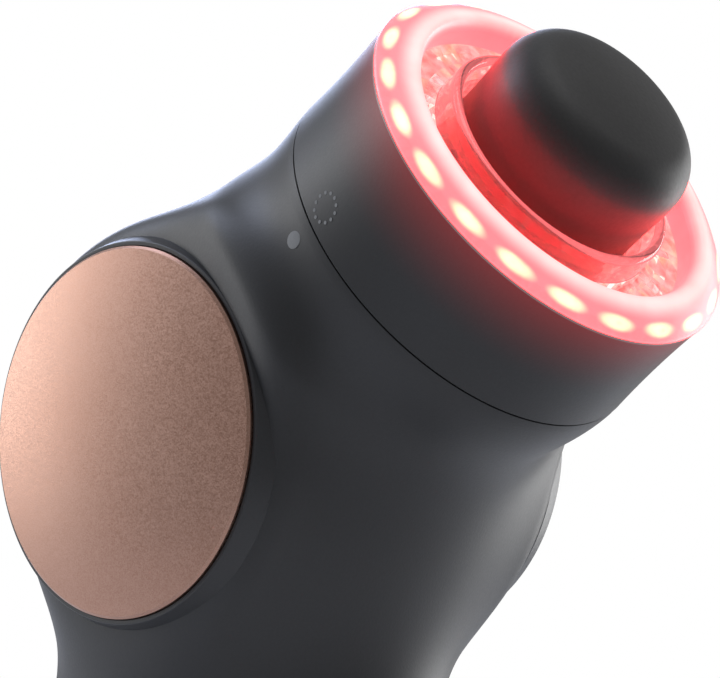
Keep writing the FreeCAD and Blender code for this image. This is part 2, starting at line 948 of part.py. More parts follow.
def motor_stator():
    low, high = stator_span()
    outer = can_radius - can_wall - fit
    ring = tube(outer, outer - stator_ring, low, high)
    reach = rotor_radius + rotor_air_gap
    tooth = box((reach + 0.6, outer - 1.0), (-tooth_width / 2, tooth_width / 2), (low, high))
    teeth = []
    for i in range(stator_tooth_count):
        blade = tooth.copy()
        blade.rotate(V(0, 0, 0), UP, 360.0 * i / stator_tooth_count)
        teeth.append(blade)
    body = fused([ring] + teeth)
    return on_motor(body.cut(cylinder(reach, low - 1, high + 1)))


def motor_windings():
    """One coil on each tooth."""
    low, high = stator_span()
    outer = can_radius - can_wall - fit - stator_ring
    start = rotor_radius + rotor_air_gap + 0.9
    half = tooth_width / 2
    coil = box((start, outer - 0.3), (-half - 1.0, half + 1.0), (low - 1.0, high + 1.0))
    coil = coil.cut(box((start - 1, outer + 1), (-half - fit, half + fit), (low - fit, high + fit)))
    coils = []
    for i in range(stator_tooth_count):
        copy = coil.copy()
        copy.rotate(V(0, 0, 0), UP, 360.0 * i / stator_tooth_count)
        coils.append(on_motor(copy))
    return group(coils)


def motor_screws():
    """Screws from the crank side through the mounting plate into the motor's front ring."""
    screws = [cylinder(screw_head_radius - 0.3, bell_low() - motor_screw_head, bell_low(), p)
              .fuse(cylinder(screw_radius, bell_low(), bell_high(), p)).removeSplitter()
              for p in motor_screw_places()]
    return on_motor(group(screws))


# ================================================================ rotor
def pin_place():
    return V(-crank_radius, 0, 0)


def crank(shape):
    """Rotor frame to row frame: local X is the barrel frame's X at rest."""
    turned = shape.copy()
    turned.rotate(V(0, 0, 0), UP, 90 - head_tilt)
    return on_motor(turned)


def crank_disc():
    """Round crank with its counterweight opposite the pin."""
    low, high = disc_low(), disc_high()
    disc = cylinder(crank_disc_radius, low, high)
    weight = cylinder(counterweight_radius, low + 0.6, high)
    weight = weight.common(box((1.5, 30), (-30, 30), (low, high)))
    body = fused([disc, weight])
    body = body.cut(cylinder(shaft_radius, low + shaft_seat, high + 1))
    return crank(body.cut(cylinder(pin_radius, low - 1, low + pin_seat, pin_place())))


def crank_pin():
    low = -yoke_thickness / 2
    pin = cylinder(pin_radius, low, disc_low() + pin_seat, pin_place())
    head = cylinder(pin_radius + 0.8, low - 0.7, low, pin_place())
    return crank(pin.fuse(head).removeSplitter())


def crank_roller():
    half = roller_width / 2
    return crank(tube(roller_radius, pin_radius + running, -half, half, pin_place()))


def motor_shaft():
    return crank(cylinder(shaft_radius, disc_low() + shaft_seat, motor_end() - 1.2))


def rotor_core():
    low, high = stator_span()
    return crank(tube(rotor_radius - rotor_ring, shaft_radius, low, high))


def rotor_magnets():
    """Magnet segments round the rotor core."""
    low, high = stator_span()
    ring = tube(rotor_radius, rotor_radius - rotor_ring, low, high)
    half = magnet_slit / 2
    for i in range(rotor_magnet_count):
        slot = box((0, rotor_radius + past), (-half, half), (low - past, high + past))
        slot.rotate(V(0, 0, 0), UP, 360.0 * i / rotor_magnet_count)
        ring = ring.cut(slot)
    return group([crank(segment) for segment in ring.Solids])


# ================================================================ plunger
def slot_half():
    return roller_radius + slot_play


def yoke_top():
    return slot_half() + yoke_bar


def scotch_yoke():
    """Slotted yoke: the slot runs across the barrel axis and the roller works in it."""
    half = yoke_thickness / 2
    run = crank_radius + slot_half() + 0.6
    width = run + yoke_end
    plate = box((-width, width), (-half, half), (-yoke_top(), yoke_top()))
    slot = box((-run, run), (-half - 1, half + 1), (-slot_half(), slot_half()))
    boss = cylinder(yoke_boss_radius, yoke_top() - 1.5, yoke_top() + yoke_boss_length)
    boss = boss.cut(cylinder(rod_radius, yoke_top() + 0.4, 60))
    plate = plate.cut(slot).cut(cylinder(rod_radius, yoke_top() + 0.4, 60))
    return on_barrel(fused([plate, boss]))


def rod_end():
    return tip_base_at + socket_depth - 1.0


def plunger_rod():
    rod = revolve([(0, yoke_top() + 0.4), (rod_radius, yoke_top() + 0.4), (rod_radius, rod_end() - 0.8),
                   (rod_radius - 0.8, rod_end()), (0, rod_end())])
    low = rod_end() - ring_below_rod_end
    groove = tube(rod_radius + 1, rod_radius - 1.4, low - ring_wire - fit, low + ring_wire + fit)
    return on_barrel(rod.cut(groove))


def rod_o_ring():
    low = rod_end() - ring_below_rod_end
    return on_barrel(Part.makeTorus(rod_radius - 1.35 + ring_wire, ring_wire, V(0, 0, low), UP))


def plunger_bushes():
    low = case_radius + 0.4
    high = nose_seat_at() - 2.0
    spans = [(low, low + bush_length), (high - bush_length, high)]
    return group([on_barrel(tube(guide_bore - fit / 2, rod_radius + running, a, b)) for a, b in spans])


def dust_boot():
    """Rubber wiper in the nose plate that the rod slides through."""
    low = nose_seat_at() - 1.2
    high = seam_at - 0.6
    lip = rod_radius + moving
    rim = lip + boot_lip
    return on_barrel(revolve([(lip, low), (rim, low), (rim, high), (lip + 1.5, high),
                              (lip + 1.2, low + 1.2), (lip, low + 1.2)]))


def nose_plate():
    """Front wall of the barrel, with pockets for its magnets and contacts."""
    low = nose_seat_at()
    high = seam_at - 0.1
    plate = cylinder(seam_radius - wall - fit, low, high)
    plate = plate.cut(cylinder(rod_radius + moving + boot_lip + fit, low - past, high + past))
    plate = plate.cut(magnet_set(low + nose_pocket_floor, fit))
    for p in contact_places():
        plate = plate.cut(cylinder(contact_radius + fit, low - past, high + past, p))
    return on_barrel(plate)


def magnet_places():
    return around(magnet_count, magnet_circle, 45)


def contact_places():
    middle = (contact_count - 1) / 2
    turns = [math.radians(180 + contact_pitch_angle * (i - middle)) for i in range(contact_count)]
    return [V(contact_circle * math.cos(t), contact_circle * math.sin(t), 0) for t in turns]


def magnet_set(low, extra=0.0):
    """Magnets, or their pockets when they are made larger by the extra."""
    high = low + magnet_thickness + extra
    return group([cylinder(magnet_radius + extra, low, high, p) for p in magnet_places()])


def nose_magnets():
    return on_barrel(magnet_set(nose_seat_at() + nose_pocket_floor))


def nose_contacts():
    low = nose_seat_at() - 1.5
    return on_barrel(group([cylinder(contact_radius, low, seam_at + 0.1, p) for p in contact_places()]))


# ================================================================ light ring
def ring_low():
    return seam_at + seam_gap


def seal_at():
    return seam_at + shell_length


def lens_low():
    return seal_at() + seal_thickness


def shell_inner():
    return seam_radius - ring_wall


def ring_shell():
    """Outer wall with a slight waist, a floor and the lower half of the inner tube."""
    low = ring_low()
    high = seal_at()
    middle = (low + high) / 2
    r = seam_radius
    floor = low + ring_floor
    inner = ring_bore + ring_inner_wall
    outer = shell_inner()
    ledge = outer - board_ledge
    edges = [arc((r, low), (r - shell_waist, middle), (r, high)), line((r, high), (outer, high)),
             line((outer, high), (outer, board_at)), line((outer, board_at), (ledge, board_at)),
             line((ledge, board_at), (ledge, floor)), line((ledge, floor), (inner, floor)),
             line((inner, floor), (inner, collar_base_at)),
             line((inner, collar_base_at), (ring_bore, collar_base_at)),
             line((ring_bore, collar_base_at), (ring_bore, low)), line((ring_bore, low), (r, low))]
    shell = revolve_edges(edges)
    shell = shell.cut(magnet_set(low + ring_pocket_floor, fit))
    for p in contact_places():
        shell = shell.cut(cylinder(pad_radius + fit, low - past, floor + past, p))
    shell = on_barrel(shell)
    for dot in mark_dots(fit):
        shell = shell.cut(dot)
    return shell


def mark_dots(extra=0.0):
    """The ring of small dots that shows how the light ring is turned."""
    centre, outward, sideways = dot_frame(mark_at)
    axis = dot_frame(1.0)[0]
    dots = []
    for i in range(mark_dot_count):
        turn = 2 * math.pi * i / mark_dot_count
        offset = sideways * (mark_circle * math.cos(turn)) + axis * (mark_circle * math.sin(turn))
        across = mark_circle * math.cos(turn)
        along = mark_at + mark_circle * math.sin(turn)
        radius = shell_radius(along)
        reach = math.sqrt(radius * radius - across * across)
        start = centre + offset + outward * (reach - mark_depth) + V(0, 0, axis_height)
        height = mark_depth + mark_rise + extra
        dots.append(Part.makeCylinder(mark_dot_radius + extra, height, start, outward))
    return dots


def shell_radius(along):
    """Outer radius of the light ring's shell, on its shallow arc."""
    half = (seal_at() - ring_low()) / 2
    middle = (seal_at() + ring_low()) / 2
    t = (along - middle) / half
    return seam_radius - shell_waist * (1 - t * t)


def ring_mark():
    return group(mark_dots())


def ring_magnets():
    return on_barrel(magnet_set(ring_low() + ring_pocket_floor))


def ring_contact_pads():
    low = ring_low() + 0.1
    return on_barrel(group([cylinder(pad_radius, low, low + ring_floor + 0.3, p) for p in contact_places()]))


def led_board():
    low = board_at
    outer = shell_inner() - fit
    inner = ring_bore + ring_inner_wall + fit
    return on_barrel(tube(outer, inner, low, low + board_thickness))


def led_low():
    return board_at + board_thickness


def light_leds():
    half = led_size / 2
    low = led_low()
    chips = []
    for i in range(led_count):
        chip = box((led_circle - half, led_circle + half), (-half, half), (low, low + led_height))
        chip.rotate(V(0, 0, 0), UP, 360.0 * i / led_count)
        chips.append(chip)
    return on_barrel(group(chips))


def ring_reflector():
    """White channel round the lamps, open to the front."""
    low = led_low()
    high = seal_at() - optic_top_drop - optic_height - 0.1
    outer = shell_inner() - fit
    inner = ring_bore + ring_inner_wall + fit
    floor = tube(outer, inner, low, low + reflector_wall)
    half = led_size / 2 + led_window_gap
    for i in range(led_count):
        window = box((led_circle - half, led_circle + half), (-half, half), (low - past, low + 2))
        window.rotate(V(0, 0, 0), UP, 360.0 * i / led_count)
        floor = floor.cut(window)
    walls = [tube(outer, outer - reflector_wall, low, high), tube(inner + reflector_wall, inner, low, high)]
    return on_barrel(fused([floor] + walls))


def ring_optic():
    """Clear annulus under the lens."""
    high = seal_at() - optic_top_drop
    low = high - optic_height
    return on_barrel(tube(shell_inner() - fit, ring_bore + ring_inner_wall + fit, low, high))


def ring_collar():
    """Clear inner tube that stands above the optic, with a small rounded lip."""
    low = collar_base_at
    high = lens_low() + collar_top_rise
    inner = ring_bore
    outer = ring_bore + ring_inner_wall
    half = ring_inner_wall / 2
    edges = [line((inner, low), (outer, low)), line((outer, low), (outer, high - half)),
             arc((outer, high - half), (inner + half, high), (inner, high - half)),
             line((inner, high - half), (inner, low))]
    return on_barrel(revolve_edges(edges))


def lens_seal():
    """Thin coloured gasket between the shell and the lens."""
    return on_barrel(tube(seam_radius, shell_inner() - seal_lap, seal_at(), lens_low()))


def ring_lens():
    """Frosted outer lip: a sloping rounded ridge that falls steeply on its inside."""
    low = lens_low()
    r = lens_outer_radius
    crest = low + lens_lip_height
    lip = lens_lip_radius
    inner = lip - 1.4
    foot = shell_inner() - seal_lap - fit
    seat = seal_at() - optic_top_drop + fit
    edges = [line((foot, low), (r, low)), line((r, low), (r, low + 0.4)),
             spline([(r, low + 0.4), (r - 1.1, low + 1.5), (r - 2.8, low + 2.55), (lip, crest)]),
             spline([(lip, crest), (lip - 1.0, crest - 0.5), (inner, crest - 1.6)]),
             line((inner, crest - 1.6), (inner + 0.2, seat)),
             line((inner + 0.2, seat), (foot, seat)), line((foot, seat), (foot, low))]
    return on_barrel(revolve_edges(edges))


# ================================================================ massage tip
def tip_pad():
    """Soft cap: a straight cylinder with a shallow waist and a large rounded top edge."""
    r = tip_radius
    low = tip_base_at
    high = tip_top_at - tip_crown
    e = tip_edge_round
    bend = e * (1 - math.sqrt(0.5))
    shoulder = high - e
    bore = tip_core_radius + fit
    foot = low + tip_foot_round
    middle = (foot + shoulder) / 2
    side = [(r, foot), (r, middle - 2), (r - tip_waist, middle + 4), (r, shoulder)]
    edges = [line((bore, low), (r - tip_foot_round, low)), line((r - tip_foot_round, low), (r, foot)),
             spline(side), arc((r, shoulder), (r - bend, high - bend), (r - e, high)),
             dome_arc(r - e, high, tip_crown), line((0, tip_top_at), (0, tip_core_top_at)),
             line((0, tip_core_top_at), (bore, tip_core_top_at)), line((bore, tip_core_top_at), (bore, low))]
    return on_barrel(revolve_edges(edges))


def tip_core():
    """Rigid core with the rod's socket and the magnet's pocket."""
    low = tip_base_at - 1.0
    bore = rod_radius + moving
    return on_barrel(revolve([(bore, low), (tip_core_radius, low), (tip_core_radius, tip_core_top_at - fit),
                              (0, tip_core_top_at - fit), (0, magnet_low() + tip_magnet_thickness + fit),
                              (bore, magnet_low() + tip_magnet_thickness + fit)]))


def magnet_low():
    return rod_end() + 0.5


def tip_magnet():
    return on_barrel(cylinder(rod_radius + moving - fit, magnet_low(), magnet_low() + tip_magnet_thickness))


# ================================================================ nodes
def nodes():
    carrier = plate_carrier()
    plate = side_plate()
    return {
        "main_housing": main_housing, "base_cap": base_cap, "base_screws": base_screws,
        "charge_socket": charge_socket, "charge_board": charge_board, "charge_chips": charge_chips,
        "battery_cells": battery_cells, "battery_tabs": battery_tabs, "battery_holder": battery_holder,
        "control_board": control_board, "board_chips": board_chips, "board_header": board_header,
        "button_board": button_board, "tact_switches": tact_switches,
        "status_light_pipe": status_light_pipe, "alignment_dot": alignment_dot,
        "power_button": lambda: button(power_button_height),
        "light_button": lambda: button(light_button_height),
        "left_plate_carrier": lambda: carrier, "left_side_plate": lambda: plate,
        "right_plate_carrier": lambda: mirrored(carrier), "right_side_plate": lambda: mirrored(plate),
        "chassis_frame": chassis_frame, "crankcase_cover": crankcase_cover, "cover_screws": cover_screws,
        "damper_mounts": damper_mounts, "motor_can": motor_can, "motor_end_cap": motor_end_cap,
        "shaft_bearings": shaft_bearings, "motor_stator": motor_stator, "motor_windings": motor_windings,
        "motor_screws": motor_screws, "crank_disc": crank_disc, "crank_pin": crank_pin,
        "crank_roller": crank_roller, "motor_shaft": motor_shaft, "rotor_core": rotor_core,
        "rotor_magnets": rotor_magnets, "scotch_yoke": scotch_yoke, "plunger_rod": plunger_rod,
        "rod_o_ring": rod_o_ring, "plunger_bushes": plunger_bushes, "dust_boot": dust_boot,
        "nose_plate": nose_plate, "nose_magnets": nose_magnets, "nose_contacts": nose_contacts,
        "ring_shell": ring_shell, "ring_mark": ring_mark, "ring_magnets": ring_magnets,
        "ring_contact_pads": ring_contact_pads, "led_board": led_board, "light_leds": light_leds,
        "ring_reflector": ring_reflector, "ring_optic": ring_optic, "ring_collar": ring_collar,
        "lens_seal": lens_seal, "ring_lens": ring_lens,
        "tip_pad": tip_pad, "tip_core": tip_core, "tip_magnet": tip_magnet,
    }


os.makedirs("parts", exist_ok=True)
for name, make in nodes().items():
    make().exportStep("parts/" + name + ".step")
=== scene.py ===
"""Looks of a handheld percussive facial massager with a lit ring round its soft tip.

Local sizes are millimetres; meshes are written in metres in the row frame.  The origin is the
middle of the base face, +Z runs up the handle and +X is the side that the barrel leans towards.
"""

import json
import logging
import math
from collections.abc import Sequence
from dataclasses import dataclass, field, replace
from enum import Enum
from typing import Any

import bpy
import numpy as np
from mathutils import Matrix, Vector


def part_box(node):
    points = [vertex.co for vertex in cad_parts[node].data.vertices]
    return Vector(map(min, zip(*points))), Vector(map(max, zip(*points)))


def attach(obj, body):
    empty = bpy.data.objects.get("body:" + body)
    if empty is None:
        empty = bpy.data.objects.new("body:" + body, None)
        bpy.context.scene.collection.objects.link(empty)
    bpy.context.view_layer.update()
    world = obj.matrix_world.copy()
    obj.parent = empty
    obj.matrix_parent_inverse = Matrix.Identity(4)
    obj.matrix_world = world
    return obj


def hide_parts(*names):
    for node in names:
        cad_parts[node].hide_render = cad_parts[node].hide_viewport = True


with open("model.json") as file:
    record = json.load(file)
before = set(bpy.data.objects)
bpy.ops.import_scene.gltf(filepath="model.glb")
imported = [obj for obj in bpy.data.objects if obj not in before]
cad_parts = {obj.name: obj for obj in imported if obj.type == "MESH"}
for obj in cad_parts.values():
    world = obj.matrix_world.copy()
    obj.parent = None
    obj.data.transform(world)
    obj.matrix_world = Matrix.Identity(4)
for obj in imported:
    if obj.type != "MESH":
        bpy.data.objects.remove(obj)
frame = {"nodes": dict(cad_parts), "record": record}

LOG = logging.getLogger("massager")
MM = 0.001
SHARP = 35.0            # degrees; an edge that turns by more than this stays sharp
Array = np.ndarray
Socket = Any


# ---------------------------------------------------------------- frames and surfaces
@dataclass(frozen=True)
class Placement:
    """A local frame: its origin and its X, Y and Z axes, in the row frame."""

    origin: tuple[float, float, float]
    axes: tuple[tuple[float, float, float], ...]

    def to_row(self, local: Array) -> Array:
        """Origin plus each local coordinate times its axis."""
        return np.asarray(self.origin) + local @ np.asarray(self.axes)


AXIS_HEIGHT = 108.0
HALVINGS = 26           # brings a 57 mm reach to within a millionth of a millimetre
TILT = math.radians(45.0)
COS, SIN = math.cos(TILT), math.sin(TILT)


class Place(Enum):
    """The local frames that the pieces are drawn in."""

    UPRIGHT = Placement((0, 0, 0), ((1, 0, 0), (0, 1, 0), (0, 0, 1)))
    BARREL = Placement((0, 0, AXIS_HEIGHT), ((SIN, 0, -COS), (0, 1, 0), (COS, 0, SIN)))
    LEFT = Placement((0, 0, AXIS_HEIGHT), ((1, 0, 0), (0, 0, -1), (0, 1, 0)))
    RIGHT = Placement((0, 0, AXIS_HEIGHT), ((1, 0, 0), (0, 0, 1), (0, -1, 0)))


def front_place(height: float) -> Placement:
    """A frame on the handle's axis whose Z points forward, along +X."""
    return Placement((0, 0, height), ((0, 0, -1), (0, 1, 0), (1, 0, 0)))


@dataclass
class Surface:
    """Rows of points, closed round each row; a row on the axis is one pole.

    Args:
        rings: points as (rows, columns, 3), in the row frame, in millimetres.
        lengths: running length of each row, which becomes the map's second value.
        loop: whether the last row joins the first.
    """

    rings: Array
    lengths: Array
    loop: bool = False

    def faces(self) -> tuple[Array, Array]:
        """Index of four corners for each cell, row by row, and their map values.

        Returns:
            (cells, 4) vertex numbers and (cells, 4, 2) map values: the share of the turn,
            and the running length.
        """
        rows, cols = self.rings.shape[:2]
        i = np.arange(rows if self.loop else rows - 1)[:, None]
        j = np.arange(cols)[None, :]
        up, right = (i + 1) % rows, (j + 1) % cols
        corners = np.stack([i * cols + j, i * cols + right, up * cols + right, up * cols + j], -1)
        ends = np.append(self.lengths, self.lengths[-1]) if self.loop else self.lengths
        u = np.stack(np.broadcast_arrays(j, j + 1, j + 1, j), -1) / cols
        u = np.broadcast_to(u, corners.shape)
        v = np.broadcast_to(np.stack([ends[i], ends[i], ends[i + 1], ends[i + 1]], -1), corners.shape)
        return corners.reshape(-1, 4), np.stack([u, v], -1).reshape(-1, 4, 2)


def build(name: str, surfaces: Sequence[Surface], sharp: float = SHARP) -> bpy.types.Object:
    """One object from closed surfaces.

    Points that coincide at a pole are merged, so a cell there becomes a triangle.

    Args:
        name: the object's name.
        surfaces: the surfaces that it is made of.
        sharp: edges that turn by more than this many degrees stay sharp.

    Returns:
        The object, at the origin, with its map in the layer "Surface".
    """
    points, cells, maps, start = [], [], [], 0
    for surface in surfaces:
        corners, values = surface.faces()
        points.append(surface.rings.reshape(-1, 3))
        cells.append(corners + start)
        maps.append(values)
        start += len(points[-1])
    co, cell, uv = np.concatenate(points), np.concatenate(cells), np.concatenate(maps)
    _, first, merged = np.unique(np.round(co, 6), axis=0, return_index=True, return_inverse=True)
    co, cell = co[first], merged.reshape(-1)[cell]
    keep = cell != np.roll(cell, -1, axis=1)
    size = keep.sum(1)
    good = size > 2
    cell, uv, keep, size = cell[good], uv[good], keep[good], size[good]
    mesh = bpy.data.meshes.new(name)
    mesh.vertices.add(len(co))
    mesh.vertices.foreach_set("co", (co * MM).astype(np.float32).ravel())
    mesh.loops.add(int(size.sum()))
    mesh.loops.foreach_set("vertex_index", cell[keep].astype(np.int32))
    mesh.polygons.add(len(size))
    mesh.polygons.foreach_set("loop_start", np.concatenate([[0], np.cumsum(size)[:-1]]).astype(np.int32))
    mesh.update(calc_edges=True)
    layer = mesh.uv_layers.new(name="Surface")
    layer.data.foreach_set("uv", uv[keep].astype(np.float32).ravel())
    mesh.validate()
    mesh.shade_smooth()
    mesh.set_sharp_from_angle(angle=math.radians(sharp))
    obj = bpy.data.objects.new(name, mesh)
    bpy.context.scene.collection.objects.link(obj)
    return obj


def running(profile: Array) -> Array:
    """Running length along a polyline: the sum of the distances between its points."""
    return np.concatenate([[0.0], np.cumsum(np.linalg.norm(np.diff(profile, axis=0), axis=1))])


def lathe(profile: Array, place: Placement, turns: int = 180, loop: bool = False) -> Surface:
    """A turned surface: each profile point (r, z) goes round as (r cos t, r sin t, z).

    Args:
        profile: (n, 2) radius and height, listed counter-clockwise with the solid on its left.
        place: the local frame.
        turns: points in a full turn.
        loop: whether the profile is closed, as on a ring.

    Returns:
        The surface in the row frame.
    """
    t = 2 * np.pi * np.arange(turns) / turns
    r, z = profile[:, :1], profile[:, 1:]
    local = np.stack([r * np.cos(t), r * np.sin(t), z + 0 * t], -1)
    return Surface(place.to_row(local), running(profile), loop)


def outline(corners: Sequence[tuple[float, ...]], steps: int = 6) -> Array:
    """A closed outline with rounded corners.

    A corner is (r, z) or (r, z, radius).  A rounded corner is an arc tangent to its two
    sides: it starts radius times the tangent of half the turn before the corner.

    Args:
        corners: the outline's corners in order.
        steps: spans in each arc.

    Returns:
        (n, 2) points.
    """
    xy = np.array([c[:2] for c in corners], float)
    points = []
    for i, corner in enumerate(corners):
        if len(corner) < 3:
            points.append(xy[i][None])
            continue
        before, after = xy[i - 1] - xy[i], xy[(i + 1) % len(xy)] - xy[i]
        before, after = before / np.linalg.norm(before), after / np.linalg.norm(after)
        half = math.acos(float(np.clip(before @ after, -1, 1))) / 2
        reach = corner[2] / math.tan(half)
        middle = xy[i] + (before + after) / np.linalg.norm(before + after) * corner[2] / math.sin(half)
        start, end = xy[i] + before * reach - middle, xy[i] + after * reach - middle
        share = np.linspace(0, 1, steps + 1)[:, None]
        sweep = math.pi - 2 * half
        points.append(middle + (start * np.sin((1 - share) * sweep) + end * np.sin(share * sweep))
                      / math.sin(sweep))
    return np.concatenate(points)


def curve(points: Sequence[tuple[float, float]], spans: int = 6) -> Array:
    """A smooth line through points: cubic spans whose slopes are the neighbours' chords.

    Args:
        points: (r, z) pairs.
        spans: spans between one point and the next.

    Returns:
        (n, 2) points.
    """
    p = np.array(points, float)
    slope = np.gradient(p, axis=0)
    t = np.linspace(0, 1, spans, endpoint=False)[None, :, None]
    a, b, da, db = (x[:, None] for x in (p[:-1], p[1:], slope[:-1], slope[1:]))
    body = ((2 * t**3 - 3 * t**2 + 1) * a + (t**3 - 2 * t**2 + t) * da
            + (3 * t**2 - 2 * t**3) * b + (t**3 - t**2) * db)
    return np.concatenate([body.reshape(-1, 2), p[-1:]])


def dome(radius: float, rim: float, crown: float, steps: int = 24) -> Array:
    """Arc of a sphere from its rim to its pole: height falls with the root of R2 minus r2.

    Args:
        radius: radius of the rim.
        rim: height of the rim.
        crown: height of the pole over the rim.
        steps: spans in the arc.

    Returns:
        (n, 2) points.
    """
    bend = (radius**2 + crown**2) / (2 * crown)
    r = radius * np.cos(np.linspace(0, np.pi / 2, steps + 1))
    r[-1] = 0.0
    return np.stack([r, rim + crown - bend + np.sqrt(bend**2 - r**2)], -1)


# ---------------------------------------------------------------- the body's form
def smoothstep(t: Array) -> Array:
    """3 t squared minus 2 t cubed, with t held between 0 and 1."""
    t = np.clip(t, 0, 1)
    return t * t * (3 - 2 * t)


def smooth_union(a: Array, b: Array, width: Array | float) -> Array:
    """The lesser of two distances, rounded over a width."""
    h = np.clip(0.5 + 0.5 * (b - a) / width, 0, 1)
    return b * (1 - h) + a * h - width * h * (1 - h)


@dataclass(frozen=True)
class BodyForm:
    """The housing's outer form, counted from the motor axis: handle, boss and barrel blended."""

    handle_top: float = 26.8
    handle_base: float = 22.0
    taper_start: float = 30.0
    taper_end_height: float = 3.0
    neck: float = 23.0
    neck_length: float = 26.0
    seam: float = 28.4
    seam_at: float = 41.8
    barrel_back: float = 2.0
    boss: float = 26.6
    boss_half_width: float = 28.3
    side_rise: float = 6.0
    side_rise_length: float = 24.0
    side_round: float = 4.4
    handle_overrun: float = 5.0
    blend_handle: float = 16.0
    blend_low: float = 14.0
    blend_high: float = 25.5
    end_round: float = 8.0
    blend_rise: float = 30.0
    blend_fade: float = 14.0
    bend_clearance: float = 0.85

    def distance(self, p: Array) -> Array:
        """Signed distance-like value: smooth union of handle, barrel and boss, trimmed at the sides.

        Args:
            p: points counted from the motor axis, with X, Y, Z last.

        Returns:
            The value: negative inside, and 0 on the surface.
        """
        x, y, z = p[..., 0], p[..., 1], p[..., 2]
        along, off = COS * x + SIN * z, SIN * x - COS * z
        narrow = smoothstep((self.seam_at - along) / self.neck_length)
        barrel_radius = self.seam - (self.seam - self.neck) * narrow
        barrel = -smooth_union(barrel_radius - np.hypot(y, off), along + self.barrel_back, self.end_round)
        span = AXIS_HEIGHT - self.taper_end_height - self.taper_start
        taper = smoothstep((-z - self.taper_start) / span)
        radius = self.handle_top + (self.handle_base - self.handle_top) * taper
        handle = -smooth_union(radius - np.hypot(x, y), self.handle_overrun - z, self.end_round)
        stem = smooth_union(handle, barrel, self.blend_handle)
        rise = smoothstep(z / self.blend_rise)
        fade = 1 - smoothstep((along - self.seam_at + self.blend_fade) / self.blend_fade)
        boss = np.hypot(x, z) - self.boss
        rounded = smooth_union(stem, boss, self.blend_low + (self.blend_high - self.blend_low) * rise)
        form = rounded * fade + np.minimum(stem, boss) * (1 - fade)
        start = self.seam_at - self.side_rise_length
        limit = self.boss_half_width + self.side_rise * smoothstep((along - start) / self.side_rise_length)
        return -smooth_union(-form, limit - np.abs(y), self.side_round)

    def reach(self, centre: Array, direction: Array, level: float = 0.0) -> Array:
        """Distance from a centre to where the value passes a level, by halving again and again.

        Args:
            centre: where the rays start.
            direction: their unit directions.
            level: the value looked for; below 0 it is inside the surface.

        Returns:
            The distances.
        """
        low = np.zeros(direction.shape[:-1])
        high = low + 2 * self.seam
        for _ in range(HALVINGS):
            middle = (low + high) / 2
            inside = self.distance(centre + direction * middle[..., None]) < level
            low, high = np.where(inside, middle, low), np.where(inside, high, middle)
        return low

    def spine(self, share: Array) -> tuple[Array, Array]:
        """Centres and forward directions of planes up the handle, round the bend, along the barrel.

        Args:
            share: place along the spine, from 0 at the base to 1 at the seam.

        Returns:
            (n, 3) centres and (n, 3) unit directions.
        """
        bend = math.pi / 2 - TILT
        spread = self.seam + self.bend_clearance * self.boss
        px, pz = spread * math.cos(bend / 2), -spread * math.sin(bend / 2)
        lengths = np.cumsum([0, AXIS_HEIGHT + pz, px * bend, self.seam_at + pz])
        s = share * lengths[-1]
        turn = np.clip((s - lengths[1]) / (lengths[2] - lengths[1]), 0, 1) * bend
        forward = np.stack([np.cos(turn), 0 * turn, -np.sin(turn)], -1)
        centre = np.array([px, 0, pz]) - forward * px
        centre[:, 2] += np.minimum(s - lengths[1], 0)
        ahead = np.maximum(s - lengths[2], 0)
        return centre + ahead[:, None] * np.array([COS, 0, SIN]), forward

    def rings(self, share: Array, columns: int, level: float = 0.0) -> Array:
        """Points where rays in each plane meet the form: centre plus ray times reach.

        Args:
            share: places along the spine.
            columns: rays in each plane.
            level: as in reach.

        Returns:
            (planes, columns, 3) points in the row frame.
        """
        centre, forward = self.spine(share)
        t = 2 * np.pi * np.arange(columns) / columns
        direction = forward[:, None] * np.cos(t)[:, None] + np.array([0, 1.0, 0]) * np.sin(t)[:, None]
        far = self.reach(centre[:, None], direction, level)
        return centre[:, None] + direction * far[..., None] + np.array([0, 0, AXIS_HEIGHT])


FORM = BodyForm()


# ---------------------------------------------------------------- materials
class Kind(Enum):
    """The node types that the finishes are made of."""

    BACKGROUND = "ShaderNodeBackground"
    BUMP = "ShaderNodeBump"
    CELLS = "ShaderNodeTexVoronoi"
    COORDINATES = "ShaderNodeTexCoord"
    EDGE = "ShaderNodeLayerWeight"
    MAP = "ShaderNodeUVMap"
    MATERIAL_END = "ShaderNodeOutputMaterial"
    MATH = "ShaderNodeMath"
    MIX = "ShaderNodeMix"
    NOISE = "ShaderNodeTexNoise"
    PRINCIPLED = "ShaderNodeBsdfPrincipled"
    RANGE = "ShaderNodeMapRange"
    RAY = "ShaderNodeLightPath"
    SPLIT_COLOUR = "ShaderNodeSeparateColor"
    SPLIT_VECTOR = "ShaderNodeSeparateXYZ"
    VECTOR_MATH = "ShaderNodeVectorMath"
    WORLD_END = "ShaderNodeOutputWorld"


MOST_NOISE = {1: 0.3, 2: 0.7}    # a noise seldom leaves this range, so it is stretched from there
ALL = {1: 0.0, 2: 1.0, 3: 0.0, 4: 1.0}
ACRYLIC_IOR = 1.49


def linear(colour: str) -> tuple[float, float, float, float]:
    """An sRGB hex colour turned to linear values: the sRGB curve, channel by channel.

    Args:
        colour: "#rrggbb".

    Returns:
        Red, green, blue and an alpha of 1.
    """
    c = np.array([int(colour[i:i + 2], 16) / 255 for i in (1, 3, 5)])
    c = np.where(c <= 0.04045, c / 12.92, ((c + 0.055) / 1.055) ** 2.4)
    return (*map(float, c), 1.0)


def per_metre(size_mm: float) -> float:
    """Scale of a pattern whose features are about size_mm across: 1 over that size in metres."""
    return 1 / (size_mm * MM)


